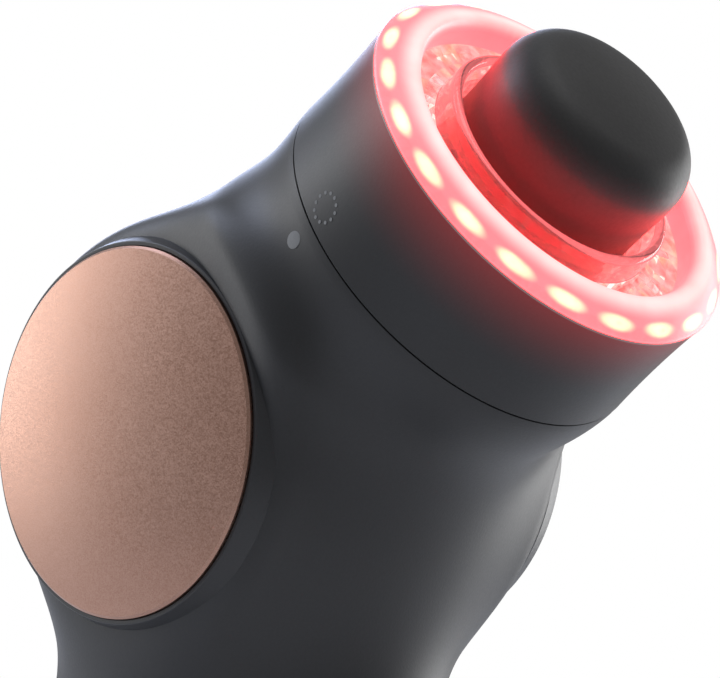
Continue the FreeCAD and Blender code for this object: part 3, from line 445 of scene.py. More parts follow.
def node(tree: bpy.types.NodeTree, kind: Kind, inputs: dict[Any, Any] | None = None,
         out: int | str = 0, **settings: Any) -> Socket:
    """Adds a node with its settings and links.

    Args:
        tree: the node tree.
        kind: the node's type.
        inputs: socket name or number to a value, or to a socket to link from.
        out: name or number of the output wanted.
        settings: the node's own properties.

    Returns:
        That output, or None for a node that has no outputs.
    """
    made = tree.nodes.new(kind.value)
    for key, value in settings.items():
        setattr(made, key, value)
    for key, value in (inputs or {}).items():
        if isinstance(value, bpy.types.NodeSocket):
            tree.links.new(value, made.inputs[key])
        else:
            made.inputs[key].default_value = value
    return made.outputs[out] if len(made.outputs) else None


def new_material(name: str) -> tuple[bpy.types.Material, bpy.types.NodeTree, Socket]:
    """An empty node material.

    Args:
        name: the material's name.

    Returns:
        The material, its tree, and the Object coordinates.
    """
    material = bpy.data.materials.new(name)
    material.use_nodes = True
    tree = material.node_tree
    tree.nodes.clear()
    return material, tree, node(tree, Kind.COORDINATES, out="Object")


@dataclass(frozen=True)
class Finish:
    """A solid material with a fine surface grain and a slow change of colour.

    Attributes:
        name: the real material and how its surface was made.
        colour, shade: the two colours that the surface wanders between.
        grain_mm: size of the surface's grain, and bump_mm its height.
        rough: least and most roughness.
        patch_mm: size of the slow change.
        sockets: values set on the shader's own sockets.
        spill: red light that reaches the surface, growing from one height to another along
            the barrel's axis, in mm, and its most strength.
        spill_colour: that light's colour.
    """

    name: str
    colour: str
    shade: str
    grain_mm: float = 0.4
    bump_mm: float = 0.01
    rough: tuple[float, float] = (0.4, 0.5)
    patch_mm: float = 12.0
    sockets: dict[str, float] = field(default_factory=dict)
    spill: tuple[float, float, float] | None = None
    spill_colour: str = "#ff3030"

    def spilt(self, tree: bpy.types.NodeTree, at: Socket) -> dict[str, Any]:
        """Light that grows with the square of the share of the way along the barrel.

        Args:
            tree: the node tree.
            at: the Object coordinates.

        Returns:
            The shader's emission inputs.
        """
        start, end, most = self.spill
        off = node(tree, Kind.VECTOR_MATH, {0: at, 1: (0, 0, AXIS_HEIGHT * MM)}, operation="SUBTRACT")
        along = node(tree, Kind.VECTOR_MATH, {0: off, 1: (COS / MM, 0, SIN / MM)}, "Value",
                     operation="DOT_PRODUCT")
        share = node(tree, Kind.RANGE, {0: along, 1: start, 2: end, 3: 0.0, 4: 1.0})
        squared = node(tree, Kind.MATH, {0: share, 1: share}, operation="MULTIPLY")
        strength = node(tree, Kind.MATH, {0: squared, 1: most}, operation="MULTIPLY")
        return {"Emission Color": linear(self.spill_colour), "Emission Strength": strength}

    def material(self) -> bpy.types.Material:
        """Colour and roughness from the mean of both noises, bump from the grain.

        Returns:
            The material.
        """
        material, tree, at = new_material(self.name)
        grain, patch = (node(tree, Kind.NOISE, {"Vector": at, "Scale": per_metre(size)}, "Fac")
                        for size in (self.grain_mm, self.patch_mm))
        mean = node(tree, Kind.MIX, {0: 0.5, 2: grain, 3: patch})
        share = node(tree, Kind.RANGE, {0: mean, **MOST_NOISE, 3: 0.0, 4: 1.0})
        least, most = self.rough
        inputs = {
            "Base Color": node(tree, Kind.MIX, {0: share, 6: linear(self.colour), 7: linear(self.shade)}, 2,
                               data_type="RGBA"),
            "Roughness": node(tree, Kind.RANGE, {0: mean, **MOST_NOISE, 3: least, 4: most}),
            "Normal": node(tree, Kind.BUMP, {"Height": grain, "Distance": self.bump_mm * MM}),
            **self.sockets,
        }
        if self.spill:
            inputs.update(self.spilt(tree, at))
        node(tree, Kind.MATERIAL_END, {"Surface": node(tree, Kind.PRINCIPLED, inputs)})
        return material


@dataclass(frozen=True)
class BlastedMetal:
    """Bead-blasted and anodised aluminium: a warm metal whose tiny pits glint here and there.

    Attributes:
        name: the real material and how its surface was made.
        colour, pale: the two colours that its pits wander between.
        pit_mm: size of a pit; the real ones are about 0.1 mm, drawn coarser so that they show.
        glint_mm: size of the finer texture in the pits, and patch_mm of the slow change.
        pit_share, patch_share: how much each takes part in the colour.
        bump: strength and height in mm of the pits.
        rough: least and most roughness.
    """

    name: str = "bead-blasted rose anodised aluminium"
    colour: str = "#a37b6a"
    pale: str = "#bf9e90"
    pit_mm: float = 0.16
    glint_mm: float = 0.24
    patch_mm: float = 16.0
    pit_share: float = 0.45
    patch_share: float = 0.35
    bump: tuple[float, float] = (0.3, 0.02)
    rough: tuple[float, float] = (0.3, 0.46)

    def material(self) -> bpy.types.Material:
        """Cell noise tilts each pit; its colour and roughness change from pit to pit.

        Returns:
            The material.
        """
        material, tree, at = new_material(self.name)
        at_pits = {"Vector": at, "Scale": per_metre(self.pit_mm)}
        depth = node(tree, Kind.CELLS, at_pits, "Distance")
        each = node(tree, Kind.SPLIT_COLOUR, {0: node(tree, Kind.CELLS, at_pits, "Color")})
        slow, fine = (node(tree, Kind.NOISE, {"Vector": at, "Scale": per_metre(size)}, "Fac")
                      for size in (self.patch_mm, self.glint_mm))
        patches = node(tree, Kind.MATH, {0: slow, 1: self.patch_share}, operation="MULTIPLY")
        share = node(tree, Kind.MATH, {0: each, 1: self.pit_share, 2: patches}, operation="MULTIPLY_ADD")
        height = node(tree, Kind.MATH, {0: depth, 1: fine}, operation="ADD")
        strength, distance = self.bump
        least, most = self.rough
        shader = node(tree, Kind.PRINCIPLED, {
            "Base Color": node(tree, Kind.MIX, {0: share, 6: linear(self.colour), 7: linear(self.pale)}, 2,
                               data_type="RGBA"),
            "Metallic": 1.0,
            "Roughness": node(tree, Kind.RANGE, {**ALL, 0: each, 3: least, 4: most}),
            "Normal": node(tree, Kind.BUMP, {"Height": height, "Strength": strength,
                                             "Distance": distance * MM})})
        node(tree, Kind.MATERIAL_END, {"Surface": shader})
        return material


@dataclass(frozen=True)
class LitLens:
    """Frosted acrylic over a row of lamps: a soft pink glow with a warm spot at each lamp.

    Attributes:
        name: the real material and how its surface was made.
        lamps: number of lamps, and first the angle of the first in degrees.
        body: the acrylic's own colour; glow, warm, strip: light between, at and inside the spots.
        strength: the light's strength; spot_loss and least are shares of it, lost in a spot
            and left where the slow noise is lowest.
        spot_at: running length of the spots.
        spot_half: half lengths of a spot, as a share of the lamps' pitch and in mm.
        spot_least: share of a spot that is left where the noise is lowest.
        strip_at: running length and half width of the pale crest.
        patch_mm: size of the noise in the spots and in the glow.
    """

    name: str = "frosted acrylic, lit from behind"
    lamps: int = 21
    first: float = 4.86
    body: str = "#c98a8a"
    glow: str = "#ff2f33"
    warm: str = "#ffc090"
    strip: str = "#ff5c5a"
    strength: float = 7.0
    spot_loss: float = 0.6
    least: float = 0.85
    spot_at: float = 5.6
    spot_half: tuple[float, float] = (0.46, 1.25)
    spot_least: float = 0.55
    strip_at: tuple[float, float] = (9.2, 2.6)
    patch_mm: tuple[float, float] = (2.2, 5.0)
    rough: float = 0.35
    clear: float = 0.2

    def across(self, tree: bpy.types.NodeTree, value: Socket, at: tuple[float, float]) -> Socket:
        """1 at the middle of a band, falling smoothly to 0 at its half width.

        Args:
            tree: the node tree.
            value: where the point is.
            at: the band's middle and half width.

        Returns:
            The share.
        """
        middle, half = at
        off = node(tree, Kind.MATH, {0: value, 1: middle}, operation="SUBTRACT")
        off = node(tree, Kind.MATH, {0: off}, operation="ABSOLUTE")
        return node(tree, Kind.RANGE, {0: off, 1: 0.0, 2: half, 3: 1.0, 4: 0.0},
                    interpolation_type="SMOOTHSTEP")

    def beside(self, tree: bpy.types.NodeTree, turn: Socket) -> Socket:
        """How far round a point is from its nearest lamp: the fraction of its count, less a half.

        Args:
            tree: the node tree.
            turn: share of the turn.

        Returns:
            The distance in shares of the pitch, -0.5 to 0.5.
        """
        start = 0.5 - self.first * self.lamps / 360
        counted = node(tree, Kind.MATH, {0: turn, 1: float(self.lamps), 2: start}, operation="MULTIPLY_ADD")
        part = node(tree, Kind.MATH, {0: counted}, operation="FRACT")
        return node(tree, Kind.MATH, {0: part, 1: 0.5}, operation="SUBTRACT")

    def oval(self, tree: bpy.types.NodeTree, turn: Socket, run: Socket) -> Socket:
        """1 over each lamp, falling off as an ellipse: root of (a/A) squared plus (b/B) squared.

        Args:
            tree: the node tree.
            turn: share of the turn.
            run: running length.

        Returns:
            The share.
        """
        down = node(tree, Kind.MATH, {0: run, 1: self.spot_at}, operation="SUBTRACT")
        squares = []
        for off, half in zip((self.beside(tree, turn), down), self.spot_half):
            scaled = node(tree, Kind.MATH, {0: off, 1: half}, operation="DIVIDE")
            squares.append(node(tree, Kind.MATH, {0: scaled, 1: scaled}, operation="MULTIPLY"))
        total = node(tree, Kind.MATH, {0: squares[0], 1: squares[1]}, operation="ADD")
        return self.across(tree, node(tree, Kind.MATH, {0: total}, operation="SQRT"), (0.0, 1.0))

    def material(self) -> bpy.types.Material:
        """Rough clear acrylic that also gives off the light spread inside it.

        Returns:
            The material.
        """
        material, tree, at = new_material(self.name)
        surface = node(tree, Kind.MAP, uv_map="Surface")
        turn, run = (node(tree, Kind.SPLIT_VECTOR, {0: surface}, i) for i in (0, 1))
        fine, slow = (node(tree, Kind.NOISE, {"Vector": at, "Scale": per_metre(size)}, "Fac")
                      for size in self.patch_mm)
        uneven = node(tree, Kind.RANGE, {0: fine, **MOST_NOISE, 3: self.spot_least, 4: 1.0})
        spot = node(tree, Kind.MATH, {0: self.oval(tree, turn, run), 1: uneven}, operation="MULTIPLY")
        colour = node(tree, Kind.MIX, {0: self.across(tree, run, self.strip_at), 6: linear(self.glow),
                                       7: linear(self.strip)}, 2, data_type="RGBA")
        colour = node(tree, Kind.MIX, {0: spot, 6: colour, 7: linear(self.warm)}, 2, data_type="RGBA")
        even = node(tree, Kind.RANGE, {0: slow, **MOST_NOISE,
                                       3: self.least * self.strength, 4: self.strength})
        strength = node(tree, Kind.MATH, {0: spot, 1: -self.spot_loss * self.strength, 2: even},
                        operation="MULTIPLY_ADD")
        shader = node(tree, Kind.PRINCIPLED, {
            "Base Color": linear(self.body), "Roughness": self.rough, "IOR": ACRYLIC_IOR,
            "Transmission Weight": self.clear, "Emission Color": colour, "Emission Strength": strength})
        node(tree, Kind.MATERIAL_END, {"Surface": shader})
        return material


@dataclass(frozen=True)
class LitChannel:
    """White moulded channel flooded with red light, brightest at each lamp.

    Attributes:
        name: the real material and how its surface was made.
        lens: the lens over it, whose lamps it shares.
        body: the plastic's own colour; glow, warm: light between the lamps and at them.
        strength: the light's strength, and least the share left where the noise is lowest.
        spot_half: half width of a lamp's patch, as a share of the pitch.
        spot_mm, patch_mm: sizes of the noise in the patches and in the glow.
        inner_wall_from: running length where the floor turns up into the inner wall.
        wall_blend: length of that change.
        wall_share: the inner wall's light as a share of the floor's, and rib_share what its
            ribs add.
        ribs: number of ribs, and rib_half a rib's half width as a share of their pitch.
    """

    name: str = "white moulded channel, lit red"
    lens: LitLens = LitLens()
    body: str = "#f2e9e6"
    glow: str = "#ff2a30"
    warm: str = "#ff8c50"
    strength: float = 1.8
    least: float = 0.5
    spot_half: float = 0.3
    spot_mm: float = 1.6
    patch_mm: float = 4.0
    inner_wall_from: float = 23.8
    wall_blend: float = 0.5
    wall_share: float = 0.12
    rib_share: float = 0.24
    ribs: int = 96
    rib_half: float = 0.2
    rough: float = 0.5

    def level(self, tree: bpy.types.NodeTree, turn: Socket, run: Socket) -> Socket:
        """1 on the floor and the outer wall; less on the inner wall, but for its ribs.

        Args:
            tree: the node tree.
            turn: share of the turn.
            run: running length.

        Returns:
            The share of the full light.
        """
        counted = node(tree, Kind.MATH, {0: turn, 1: float(self.ribs)}, operation="MULTIPLY")
        part = node(tree, Kind.MATH, {0: counted}, operation="FRACT")
        rib = self.lens.across(tree, part, (0.5, self.rib_half))
        shade = node(tree, Kind.MATH, {0: rib, 1: self.rib_share, 2: self.wall_share},
                     operation="MULTIPLY_ADD")
        wall = node(tree, Kind.RANGE, {0: run, 1: self.inner_wall_from,
                                       2: self.inner_wall_from + self.wall_blend, 3: 0.0, 4: 1.0})
        return node(tree, Kind.MIX, {0: wall, 2: 1.0, 3: shade})

    def material(self) -> bpy.types.Material:
        """Red light with warm patches in line with the lamps, broken by a fine noise.

        Returns:
            The material.
        """
        material, tree, at = new_material(self.name)
        surface = node(tree, Kind.MAP, uv_map="Surface")
        turn, run = (node(tree, Kind.SPLIT_VECTOR, {0: surface}, i) for i in (0, 1))
        fine, slow = (node(tree, Kind.NOISE, {"Vector": at, "Scale": per_metre(size)}, "Fac")
                      for size in (self.spot_mm, self.patch_mm))
        lamp = self.lens.across(tree, self.lens.beside(tree, turn), (0.0, self.spot_half))
        broken = node(tree, Kind.RANGE, {0: fine, **MOST_NOISE, 3: 0.0, 4: 1.0})
        spot = node(tree, Kind.MATH, {0: lamp, 1: broken}, operation="MULTIPLY")
        even = node(tree, Kind.RANGE, {0: slow, **MOST_NOISE,
                                       3: self.least * self.strength, 4: self.strength})
        shader = node(tree, Kind.PRINCIPLED, {
            "Base Color": linear(self.body), "Roughness": self.rough,
            "Emission Color": node(tree, Kind.MIX, {0: spot, 6: linear(self.glow), 7: linear(self.warm)}, 2,
                                   data_type="RGBA"),
            "Emission Strength": node(tree, Kind.MATH, {0: self.level(tree, turn, run), 1: even},
                                      operation="MULTIPLY")})
        node(tree, Kind.MATERIAL_END, {"Surface": shader})
        return material


@dataclass(frozen=True)
class ClearPlastic:
    """Polished clear acrylic, with flow marks too shallow to feel; lit from below, it pipes light, and a
    painted highlight shows along its outline.

    Attributes:
        name: the real material and how its surface was made.
        tint: the acrylic's own colour.
        wave_mm: size of the flow marks.
        bump: strength and height in mm of the flow marks.
        rough: least and most roughness.
        glow: colour of the light that the acrylic carries and of the painted outline highlight, and
            glow_strength the carried light's strength.
        streak_mm: size of the streaks in that light; streaks: their least and most share.
        outline_highlight_strength: strength of a painted highlight: light given off where the surface turns
            away.
        outline_highlight_blend: how far from the outline that painted highlight reaches.
    """

    name: str = "polished clear acrylic"
    tint: str = "#ffe3e1"
    wave_mm: float = 2.5
    bump: tuple[float, float] = (0.4, 0.08)
    rough: tuple[float, float] = (0.01, 0.06)
    glow: str = "#ff2030"
    glow_strength: float = 0.0
    streak_mm: float = 1.8
    streaks: tuple[float, float] = (0.1, 1.9)
    outline_highlight_strength: float = 0.0
    outline_highlight_blend: float = 0.35

    def glow_and_outline_highlight(self, tree: bpy.types.NodeTree, at: Socket) -> Socket:
        """Strength of the light given off: streaks of noise for light that the acrylic carries, plus a
        painted highlight along the outline.

        Args:
            tree: the node tree.
            at: the Object coordinates.

        Returns:
            The strength.
        """
        fine = node(tree, Kind.NOISE, {"Vector": at, "Scale": per_metre(self.streak_mm), "Detail": 3.0},
                    "Fac")
        least, most = (share * self.glow_strength for share in self.streaks)
        streak = node(tree, Kind.RANGE, {0: fine, 1: 0.4, 2: 0.6, 3: least, 4: most})
        # Painted highlight: light given off where the surface turns away from the view, along the outline.
        edge = node(tree, Kind.EDGE, {0: self.outline_highlight_blend}, "Facing")
        return node(tree, Kind.MATH, {0: edge, 1: self.outline_highlight_strength, 2: streak}, operation="MULTIPLY_ADD")

    def material(self) -> bpy.types.Material:
        """Clear shader; slow noise bends its surface and gives a trace of roughness.

        Returns:
            The material.
        """
        material, tree, at = new_material(self.name)
        wave = node(tree, Kind.NOISE, {"Vector": at, "Scale": per_metre(self.wave_mm)}, "Fac")
        strength, distance = self.bump
        least, most = self.rough
        shader = node(tree, Kind.PRINCIPLED, {
            "Base Color": linear(self.tint), "IOR": ACRYLIC_IOR, "Transmission Weight": 1.0,
            "Roughness": node(tree, Kind.RANGE, {0: wave, **MOST_NOISE, 3: least, 4: most}),
            "Normal": node(tree, Kind.BUMP, {"Height": wave, "Strength": strength,
                                             "Distance": distance * MM}),
            "Emission Color": linear(self.glow), "Emission Strength": self.glow_and_outline_highlight(tree, at)})
        node(tree, Kind.MATERIAL_END, {"Surface": shader})
        return material


# What each finish gives the eye stands over it.
# A broad dull sheen with no clear reflections, darker where the form turns away.
SOFT_TOUCH = Finish("charcoal soft-touch lacquer", "#2c2d30", "#27282b", 0.35, 0.012, (0.42, 0.5), 30.0,
                    {"Specular IOR Level": 0.45, "Sheen Weight": 0.06, "Sheen Roughness": 0.5})
# A shade lighter and smoother than the body, so that the cone reads as its own piece.
SOFT_COLLAR = Finish("charcoal soft-touch lacquer on the collars", "#303135", "#2a2b2e", 0.3, 0.01,
                     (0.36, 0.44), 20.0, {"Specular IOR Level": 0.5})
# Dry and slightly dusty, with a soft highlight round its top.
SILICONE = Finish("moulded charcoal silicone", "#2b2a2b", "#242324", 0.5, 0.015, (0.46, 0.56), 8.0,
                  {"Specular IOR Level": 0.45, "Sheen Weight": 0.1, "Sheen Roughness": 0.6})
# A flat grey that stays the same as the body shines.
PRINT = Finish("pale grey pad print", "#77797c", "#6b6d70", 0.2, 0.003, (0.5, 0.6), 4.0)
# A fine even grain, a little lighter than the lacquer.
KEYS = Finish("fine-grained moulded keys", "#35363a", "#2e2f33", 0.3, 0.01, (0.4, 0.48), 6.0)
# A thin dark-red line under the lens, faintly lit.
SEAL = Finish("translucent red silicone cord", "#7c0a14", "#5a0610", 0.5, 0.01, (0.3, 0.4), 4.0,
              {"Emission Strength": 0.12})

# Finishes of the pieces inside, by material slot: black and white mouldings, green and white
# boards, blue wrapped cells, and metals from bright nickel to dull laminations.
INNER = {
    "dark_plastic": Finish("black glass-filled nylon", "#17181a", "#202124", 0.25, 0.02, (0.5, 0.65), 5.0),
    "rubber": Finish("black nitrile rubber", "#131313", "#1c1c1c", 0.4, 0.02, (0.6, 0.75), 5.0),
    "circuit_board": Finish("green solder mask", "#0e4a2c", "#0b3d24", 0.6, 0.01, (0.25, 0.4), 6.0),
    "white_board": Finish("white solder mask", "#eceae6", "#dedbd6", 0.6, 0.01, (0.3, 0.45), 6.0),
    "chips": Finish("black epoxy moulding", "#1b1b1d", "#232326", 0.2, 0.01, (0.5, 0.6), 3.0),
    "cell_wrap": Finish("blue shrink wrap", "#1d4d94", "#184380", 1.2, 0.02, (0.22, 0.35), 15.0),
    "white_plastic": Finish("white polycarbonate", "#ece9e5", "#e2ded9", 0.4, 0.01, (0.4, 0.5), 6.0),
    "led": Finish("lamp chip under yellow phosphor", "#f5e2a0", "#efd888", 0.3, 0.01, (0.3, 0.4), 1.0,
                  {"Emission Strength": 1.0}),
    "nickel": Finish("bright nickel plate", "#c9c6bf", "#bdbab2", 0.5, 0.005, (0.18, 0.3), 5.0,
                     {"Metallic": 1.0}),
    "gold_contact": Finish("hard gold plate", "#e0b65a", "#d2a648", 0.3, 0.005, (0.2, 0.32), 3.0,
                           {"Metallic": 1.0}),
    "bronze": Finish("sintered bronze", "#a9793f", "#916532", 0.25, 0.03, (0.4, 0.55), 3.0,
                     {"Metallic": 1.0}),
    "copper": Finish("enamelled copper wire", "#b5652c", "#9b5122", 0.35, 0.06, (0.25, 0.4), 3.0,
                     {"Metallic": 1.0}),
    "cast_aluminium": Finish("die-cast aluminium", "#a6a8ab", "#94969a", 0.5, 0.04, (0.4, 0.55), 7.0,
                             {"Metallic": 1.0}),
    "steel": Finish("ground steel", "#b9bbbe", "#a7a9ad", 0.3, 0.01, (0.22, 0.36), 6.0, {"Metallic": 1.0}),
    "lamination": Finish("silicon steel laminations", "#6f7276", "#5f6266", 0.35, 0.03, (0.4, 0.55), 4.0,
                         {"Metallic": 1.0}),
}


# ---------------------------------------------------------------- pieces
def settle(obj: bpy.types.Object, body: str, material: bpy.types.Material, slot: str,
           *nodes: str) -> bpy.types.Object:
    """Dresses a piece, lets it ride on a body and hides the nodes that it stands for.

    Args:
        obj: the piece.
        body: the body that it moves with.
        material: its material.
        slot: the record's material slot; not used.
        nodes: CAD nodes that it replaces.

    Returns:
        The piece.
    """
    obj.data.materials.clear()
    obj.data.materials.append(material)
    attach(obj, body)
    if nodes:
        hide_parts(*nodes)
    LOG.info("%s: %d faces on %s", obj.name, len(obj.data.polygons), body)
    return obj


@dataclass
class Housing:
    """The handle, motor boss and barrel in one moulded shell, with its keys and marks.

    Attributes:
        wall: the shell's thickness, and base_round the rounding of its foot.
        seam_inset: how far the last row draws in, which makes the seam a fine groove.
        spine_past_axis: about how far the spine runs past the motor axis.
        columns, rows, inner_rows, round_rows: points round the form and rows along it.
        plug: start and end of the plugs that cut the holes, from the handle's axis.
        key_radius, key_stand: the cap, and how far it stands proud; key_gap is round it.
        key_flange: radius, and depths of its two faces under the cap's top.
        key_stem, key_stem_top: the stem's radius, and where it meets the flange.
        key_travel, key_clear: travel, and what is left to the switch at its end.
        key_round, key_crown: the cap's edge, and the crown's inset, depth and rise.
        print_depth, print_sunk: a printed mark's thickness, and how much of it is sunk.
        slope_step: the short step over which the form's slope is measured.
    """

    wall: float = 2.4
    base_round: float = 2.0
    seam_inset: float = 0.07
    spine_past_axis: float = 60.0
    columns: int = 360
    rows: int = 190
    inner_rows: int = 22
    round_rows: int = 7
    plug: tuple[float, float] = (15.0, 32.0)
    key_heights: tuple[float, float] = (60.0, 40.0)
    key_radius: float = 5.5
    key_gap: float = 0.15
    key_stand: float = 0.5
    key_travel: float = 0.5
    key_clear: float = 0.05
    key_stem: float = 1.6
    key_stem_top: float = 4.6
    key_flange: tuple[float, float] = (6.7, 3.6)
    key_edge_drop: float = 0.25
    key_round: float = 0.5
    key_crown: tuple[float, float] = (0.2, 0.15)
    window_heights: tuple[float, ...] = (48.5, 50.0, 51.5)
    window_radius: float = 0.5
    window_gap: float = 0.05
    window_depth: float = 3.0
    window_round: float = 0.1
    dot_at: float = 38.5
    dot_radius: float = 1.175
    dot_round: float = 0.03
    print_depth: float = 0.34
    print_sunk: float = 0.3
    mark_angle: float = -94.2
    slope_step: float = 0.01

    def shell(self) -> Surface:
        """Outer rows from the base to the seam, then inner rows back, joined at both ends.

        Near the base the outer rows draw in by a quarter circle: R minus the root of
        R squared minus the depth squared.

        Returns:
            The closed surface.
        """
        total = AXIS_HEIGHT + self.spine_past_axis
        low = np.linspace(0, self.base_round, self.round_rows)[:-1] / total
        share = np.concatenate([low, np.linspace(self.base_round / total, 1.0, self.rows)])
        outer = FORM.rings(share, self.columns)
        centre = FORM.spine(share)[0] + np.array([0, 0, AXIS_HEIGHT])
        depth = np.clip(self.base_round - outer[:, :1, 2:], 0, self.base_round)
        inset = self.base_round - np.sqrt(self.base_round**2 - depth**2)
        inset[-1] = self.seam_inset
        away = outer - centre[:, None]
        size = np.linalg.norm(away, axis=-1, keepdims=True)
        outer = centre[:, None] + away * (size - inset) / size
        inner = FORM.rings(np.linspace(1.0, 0.0, self.inner_rows), self.columns, -self.wall)
        rings = np.concatenate([outer, inner])
        return Surface(rings, np.linspace(0, 1, len(rings)), True)

    def front_face(self, height: float) -> float:
        """X of the handle's front at a height."""
        centre = np.array([[0, 0, height - AXIS_HEIGHT]])
        return float(FORM.reach(centre, np.array([[1.0, 0, 0]]))[0])

    def cutters(self) -> bpy.types.Object:
        """Plugs where the keys and the light windows pass through the wall.

        Returns:
            One object that holds all the plugs.
        """
        start, end = self.plug
        plugs = [(h, self.key_radius + self.key_gap) for h in self.key_heights]
        plugs += [(h, self.window_radius + self.window_gap) for h in self.window_heights]
        return build("hole_plugs", [
            lathe(outline([(0, start), (radius, start), (radius, end), (0, end)]), front_place(height), 64)
            for height, radius in plugs])

    def build(self) -> bpy.types.Object:
        """The shell with its holes cut.

        Returns:
            The object, with the cut applied to its mesh.
        """
        obj, plugs = build("housing_shell", [self.shell()]), self.cutters()
        cut = obj.modifiers.new("holes", "BOOLEAN")
        cut.operation, cut.object, cut.solver = "DIFFERENCE", plugs, "EXACT"
        shaped = obj.evaluated_get(bpy.context.evaluated_depsgraph_get())
        mesh = bpy.data.meshes.new_from_object(shaped)
        obj.modifiers.clear()
        obj.data = mesh
        bpy.data.objects.remove(plugs)
        mesh.set_sharp_from_angle(angle=math.radians(SHARP))
        return obj

    def key(self, height: float) -> Surface:
        """A round key, turned: a stem that stops short of its switch, a flange, a domed cap.

        Args:
            height: the key's height on the handle.

        Returns:
            The closed surface.
        """
        stem_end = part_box("tact_switches")[1][0] / MM + self.key_travel + self.key_clear
        face, r = self.front_face(height) + self.key_stand, self.key_radius
        flange, under = self.key_flange
        inset, crown = self.key_crown
        side = [(0, stem_end), (self.key_stem, stem_end), (self.key_stem, face - self.key_stem_top),
                (flange, face - self.key_stem_top), (flange, face - under), (r, face - under),
                (r, face - self.key_edge_drop, self.key_round)]
        cap = dome(r - inset, face - crown, crown, 12)
        return lathe(np.concatenate([outline(side), cap]), front_place(height), 96)

    def windows(self) -> list[Surface]:
        """Clear pegs that end flush with the handle.

        Returns:
            A closed surface for each.
        """
        pegs, r = [], self.window_radius
        for height in self.window_heights:
            face = self.front_face(height)
            back = face - self.window_depth
            pegs.append(lathe(outline([(0, back), (r, back), (r, face, self.window_round), (0, face)]),
                              front_place(height), 32))
        return pegs

    def dot(self) -> Surface:
        """A flat printed disc on the barrel: its axis is the slope of the form's value there.

        Returns:
            The closed surface.
        """
        turn = math.radians(self.mark_angle)
        axis = np.array([COS, 0, SIN])
        out = np.array([SIN, 0, -COS]) * math.cos(turn) + np.array([0, 1.0, 0]) * math.sin(turn)
        centre = axis * self.dot_at
        top = centre + out * float(FORM.reach(centre[None], out[None])[0])
        steps = np.eye(3) * self.slope_step
        normal = FORM.distance(top + steps) - FORM.distance(top - steps)
        normal /= np.linalg.norm(normal)
        side = np.cross(axis, normal)
        side /= np.linalg.norm(side)
        place = Placement(tuple(top - normal * self.print_sunk + np.array([0, 0, AXIS_HEIGHT])),
                          (tuple(side), tuple(np.cross(normal, side)), tuple(normal)))
        r, high = self.dot_radius, self.print_depth
        return lathe(outline([(0, 0), (r, 0), (r, high, self.dot_round), (0, high)]), place, 48)

    def add(self) -> None:
        """Builds and dresses the shell, keys, windows and the alignment dot."""
        settle(self.build(), "handpiece", SOFT_TOUCH.material(), "soft_touch_body", "main_housing")
        keys = KEYS.material()
        names = (("power_key_cap", "power_key", "power_button"),
                 ("light_key_cap", "light_key", "light_button"))
        for height, (name, body, replaced) in zip(self.key_heights, names):
            settle(build(name, [self.key(height)]), body, keys, "keys", replaced)
        clear = ClearPlastic("clear light pipe", "#ffffff").material()
        settle(build("light_windows", self.windows()), "handpiece", clear, "clear_optic", "status_light_pipe")
        settle(build("alignment_print", [self.dot()]), "handpiece", PRINT.material(),
               "marks", "alignment_dot")


@dataclass
class SidePlates:
    """On each side a dark collar let into the boss, and a domed metal plate inside it.

    Attributes:
        plate_radius, rim_at, crown: the plate's rim and how far its dome rises.
        thickness, chamfer: the plate's sheet, and the bevel at its rim.
        chamfer_drop, edge_drop: the bevel's height over the rim, and depth under it, as shares.
        gap: between the plate and the collar.
        collar_*: the collar's outer radius, its seat, the foot and the top edge of its cone.
        skirt_radius, skirt_wall, skirt_depth: the ring that stands in the motor bay.
        floor: thickness of the collar's floor.
    """

    plate_radius: float = 24.8
    rim_at: float = 30.4
    crown: float = 1.8
    thickness: float = 1.2
    chamfer: float = 0.35
    chamfer_drop: float = 0.4
    edge_drop: float = 0.6
    gap: float = 0.12
    collar_radius: float = 26.7
    collar_seat: float = 23.8
    collar_foot: float = 27.0
    foot_round: float = 0.4
    collar_rim: float = 25.5
    collar_low: float = 27.0
    collar_top: float = 29.8
    collar_round: float = 0.2
    lip_round: float = 0.06
    floor: float = 1.4
    skirt_radius: float = 24.15
    skirt_wall: float = 1.8
    skirt_depth: float = 4.0

    def collar(self, place: Placement) -> Surface:
        """Turned outline: floor, skirt in the motor bay, and a cone up to the plate.

        Args:
            place: the side's frame.

        Returns:
            The closed surface.
        """
        low, top, rim = self.collar_low, self.collar_top, self.plate_radius + self.gap
        inside, floor, deep = self.skirt_radius - self.skirt_wall, low + self.floor, low - self.skirt_depth
        corners = [(0, low), (inside, low), (inside, deep), (self.skirt_radius, deep),
                   (self.skirt_radius, self.collar_seat), (self.collar_radius, self.collar_seat),
                   (self.collar_radius, self.collar_foot, self.foot_round),
                   (self.collar_rim, top, self.collar_round), (rim, top, self.lip_round),
                   (rim, floor), (0, floor)]
        return lathe(outline(corners, 8), place, 240)

    def plate(self, place: Placement) -> Surface:
        """Turned outline: a dome over a turned-back rim, with a small bright chamfer.

        Args:
            place: the side's frame.

        Returns:
            The closed surface.
        """
        r, rim, c = self.plate_radius, self.rim_at, self.chamfer
        hollow, floor, rise = r - self.thickness, self.collar_low + self.floor, c * self.chamfer_drop
        under = dome(hollow, rim - self.thickness, self.crown)[::-1]
        top = dome(r - c, rim + rise, self.crown - rise, 40)
        edge = np.array([(hollow, floor), (r, floor), (r, rim - c * self.edge_drop)])
        return lathe(np.concatenate([under, edge, top]), place, 240)

    def add(self) -> None:
        """Builds and dresses both sides."""
        coat, metal = SOFT_COLLAR.material(), BlastedMetal().material()
        for side, place in (("left", Place.LEFT.value), ("right", Place.RIGHT.value)):
            collar = build(f"{side}_collar", [self.collar(place)], 30)
            settle(collar, "handpiece", coat, "soft_touch_collar", f"{side}_plate_carrier")
            plate = build(f"{side}_plate", [self.plate(place)], 25)
            settle(plate, "handpiece", metal, "side_plate", f"{side}_side_plate")


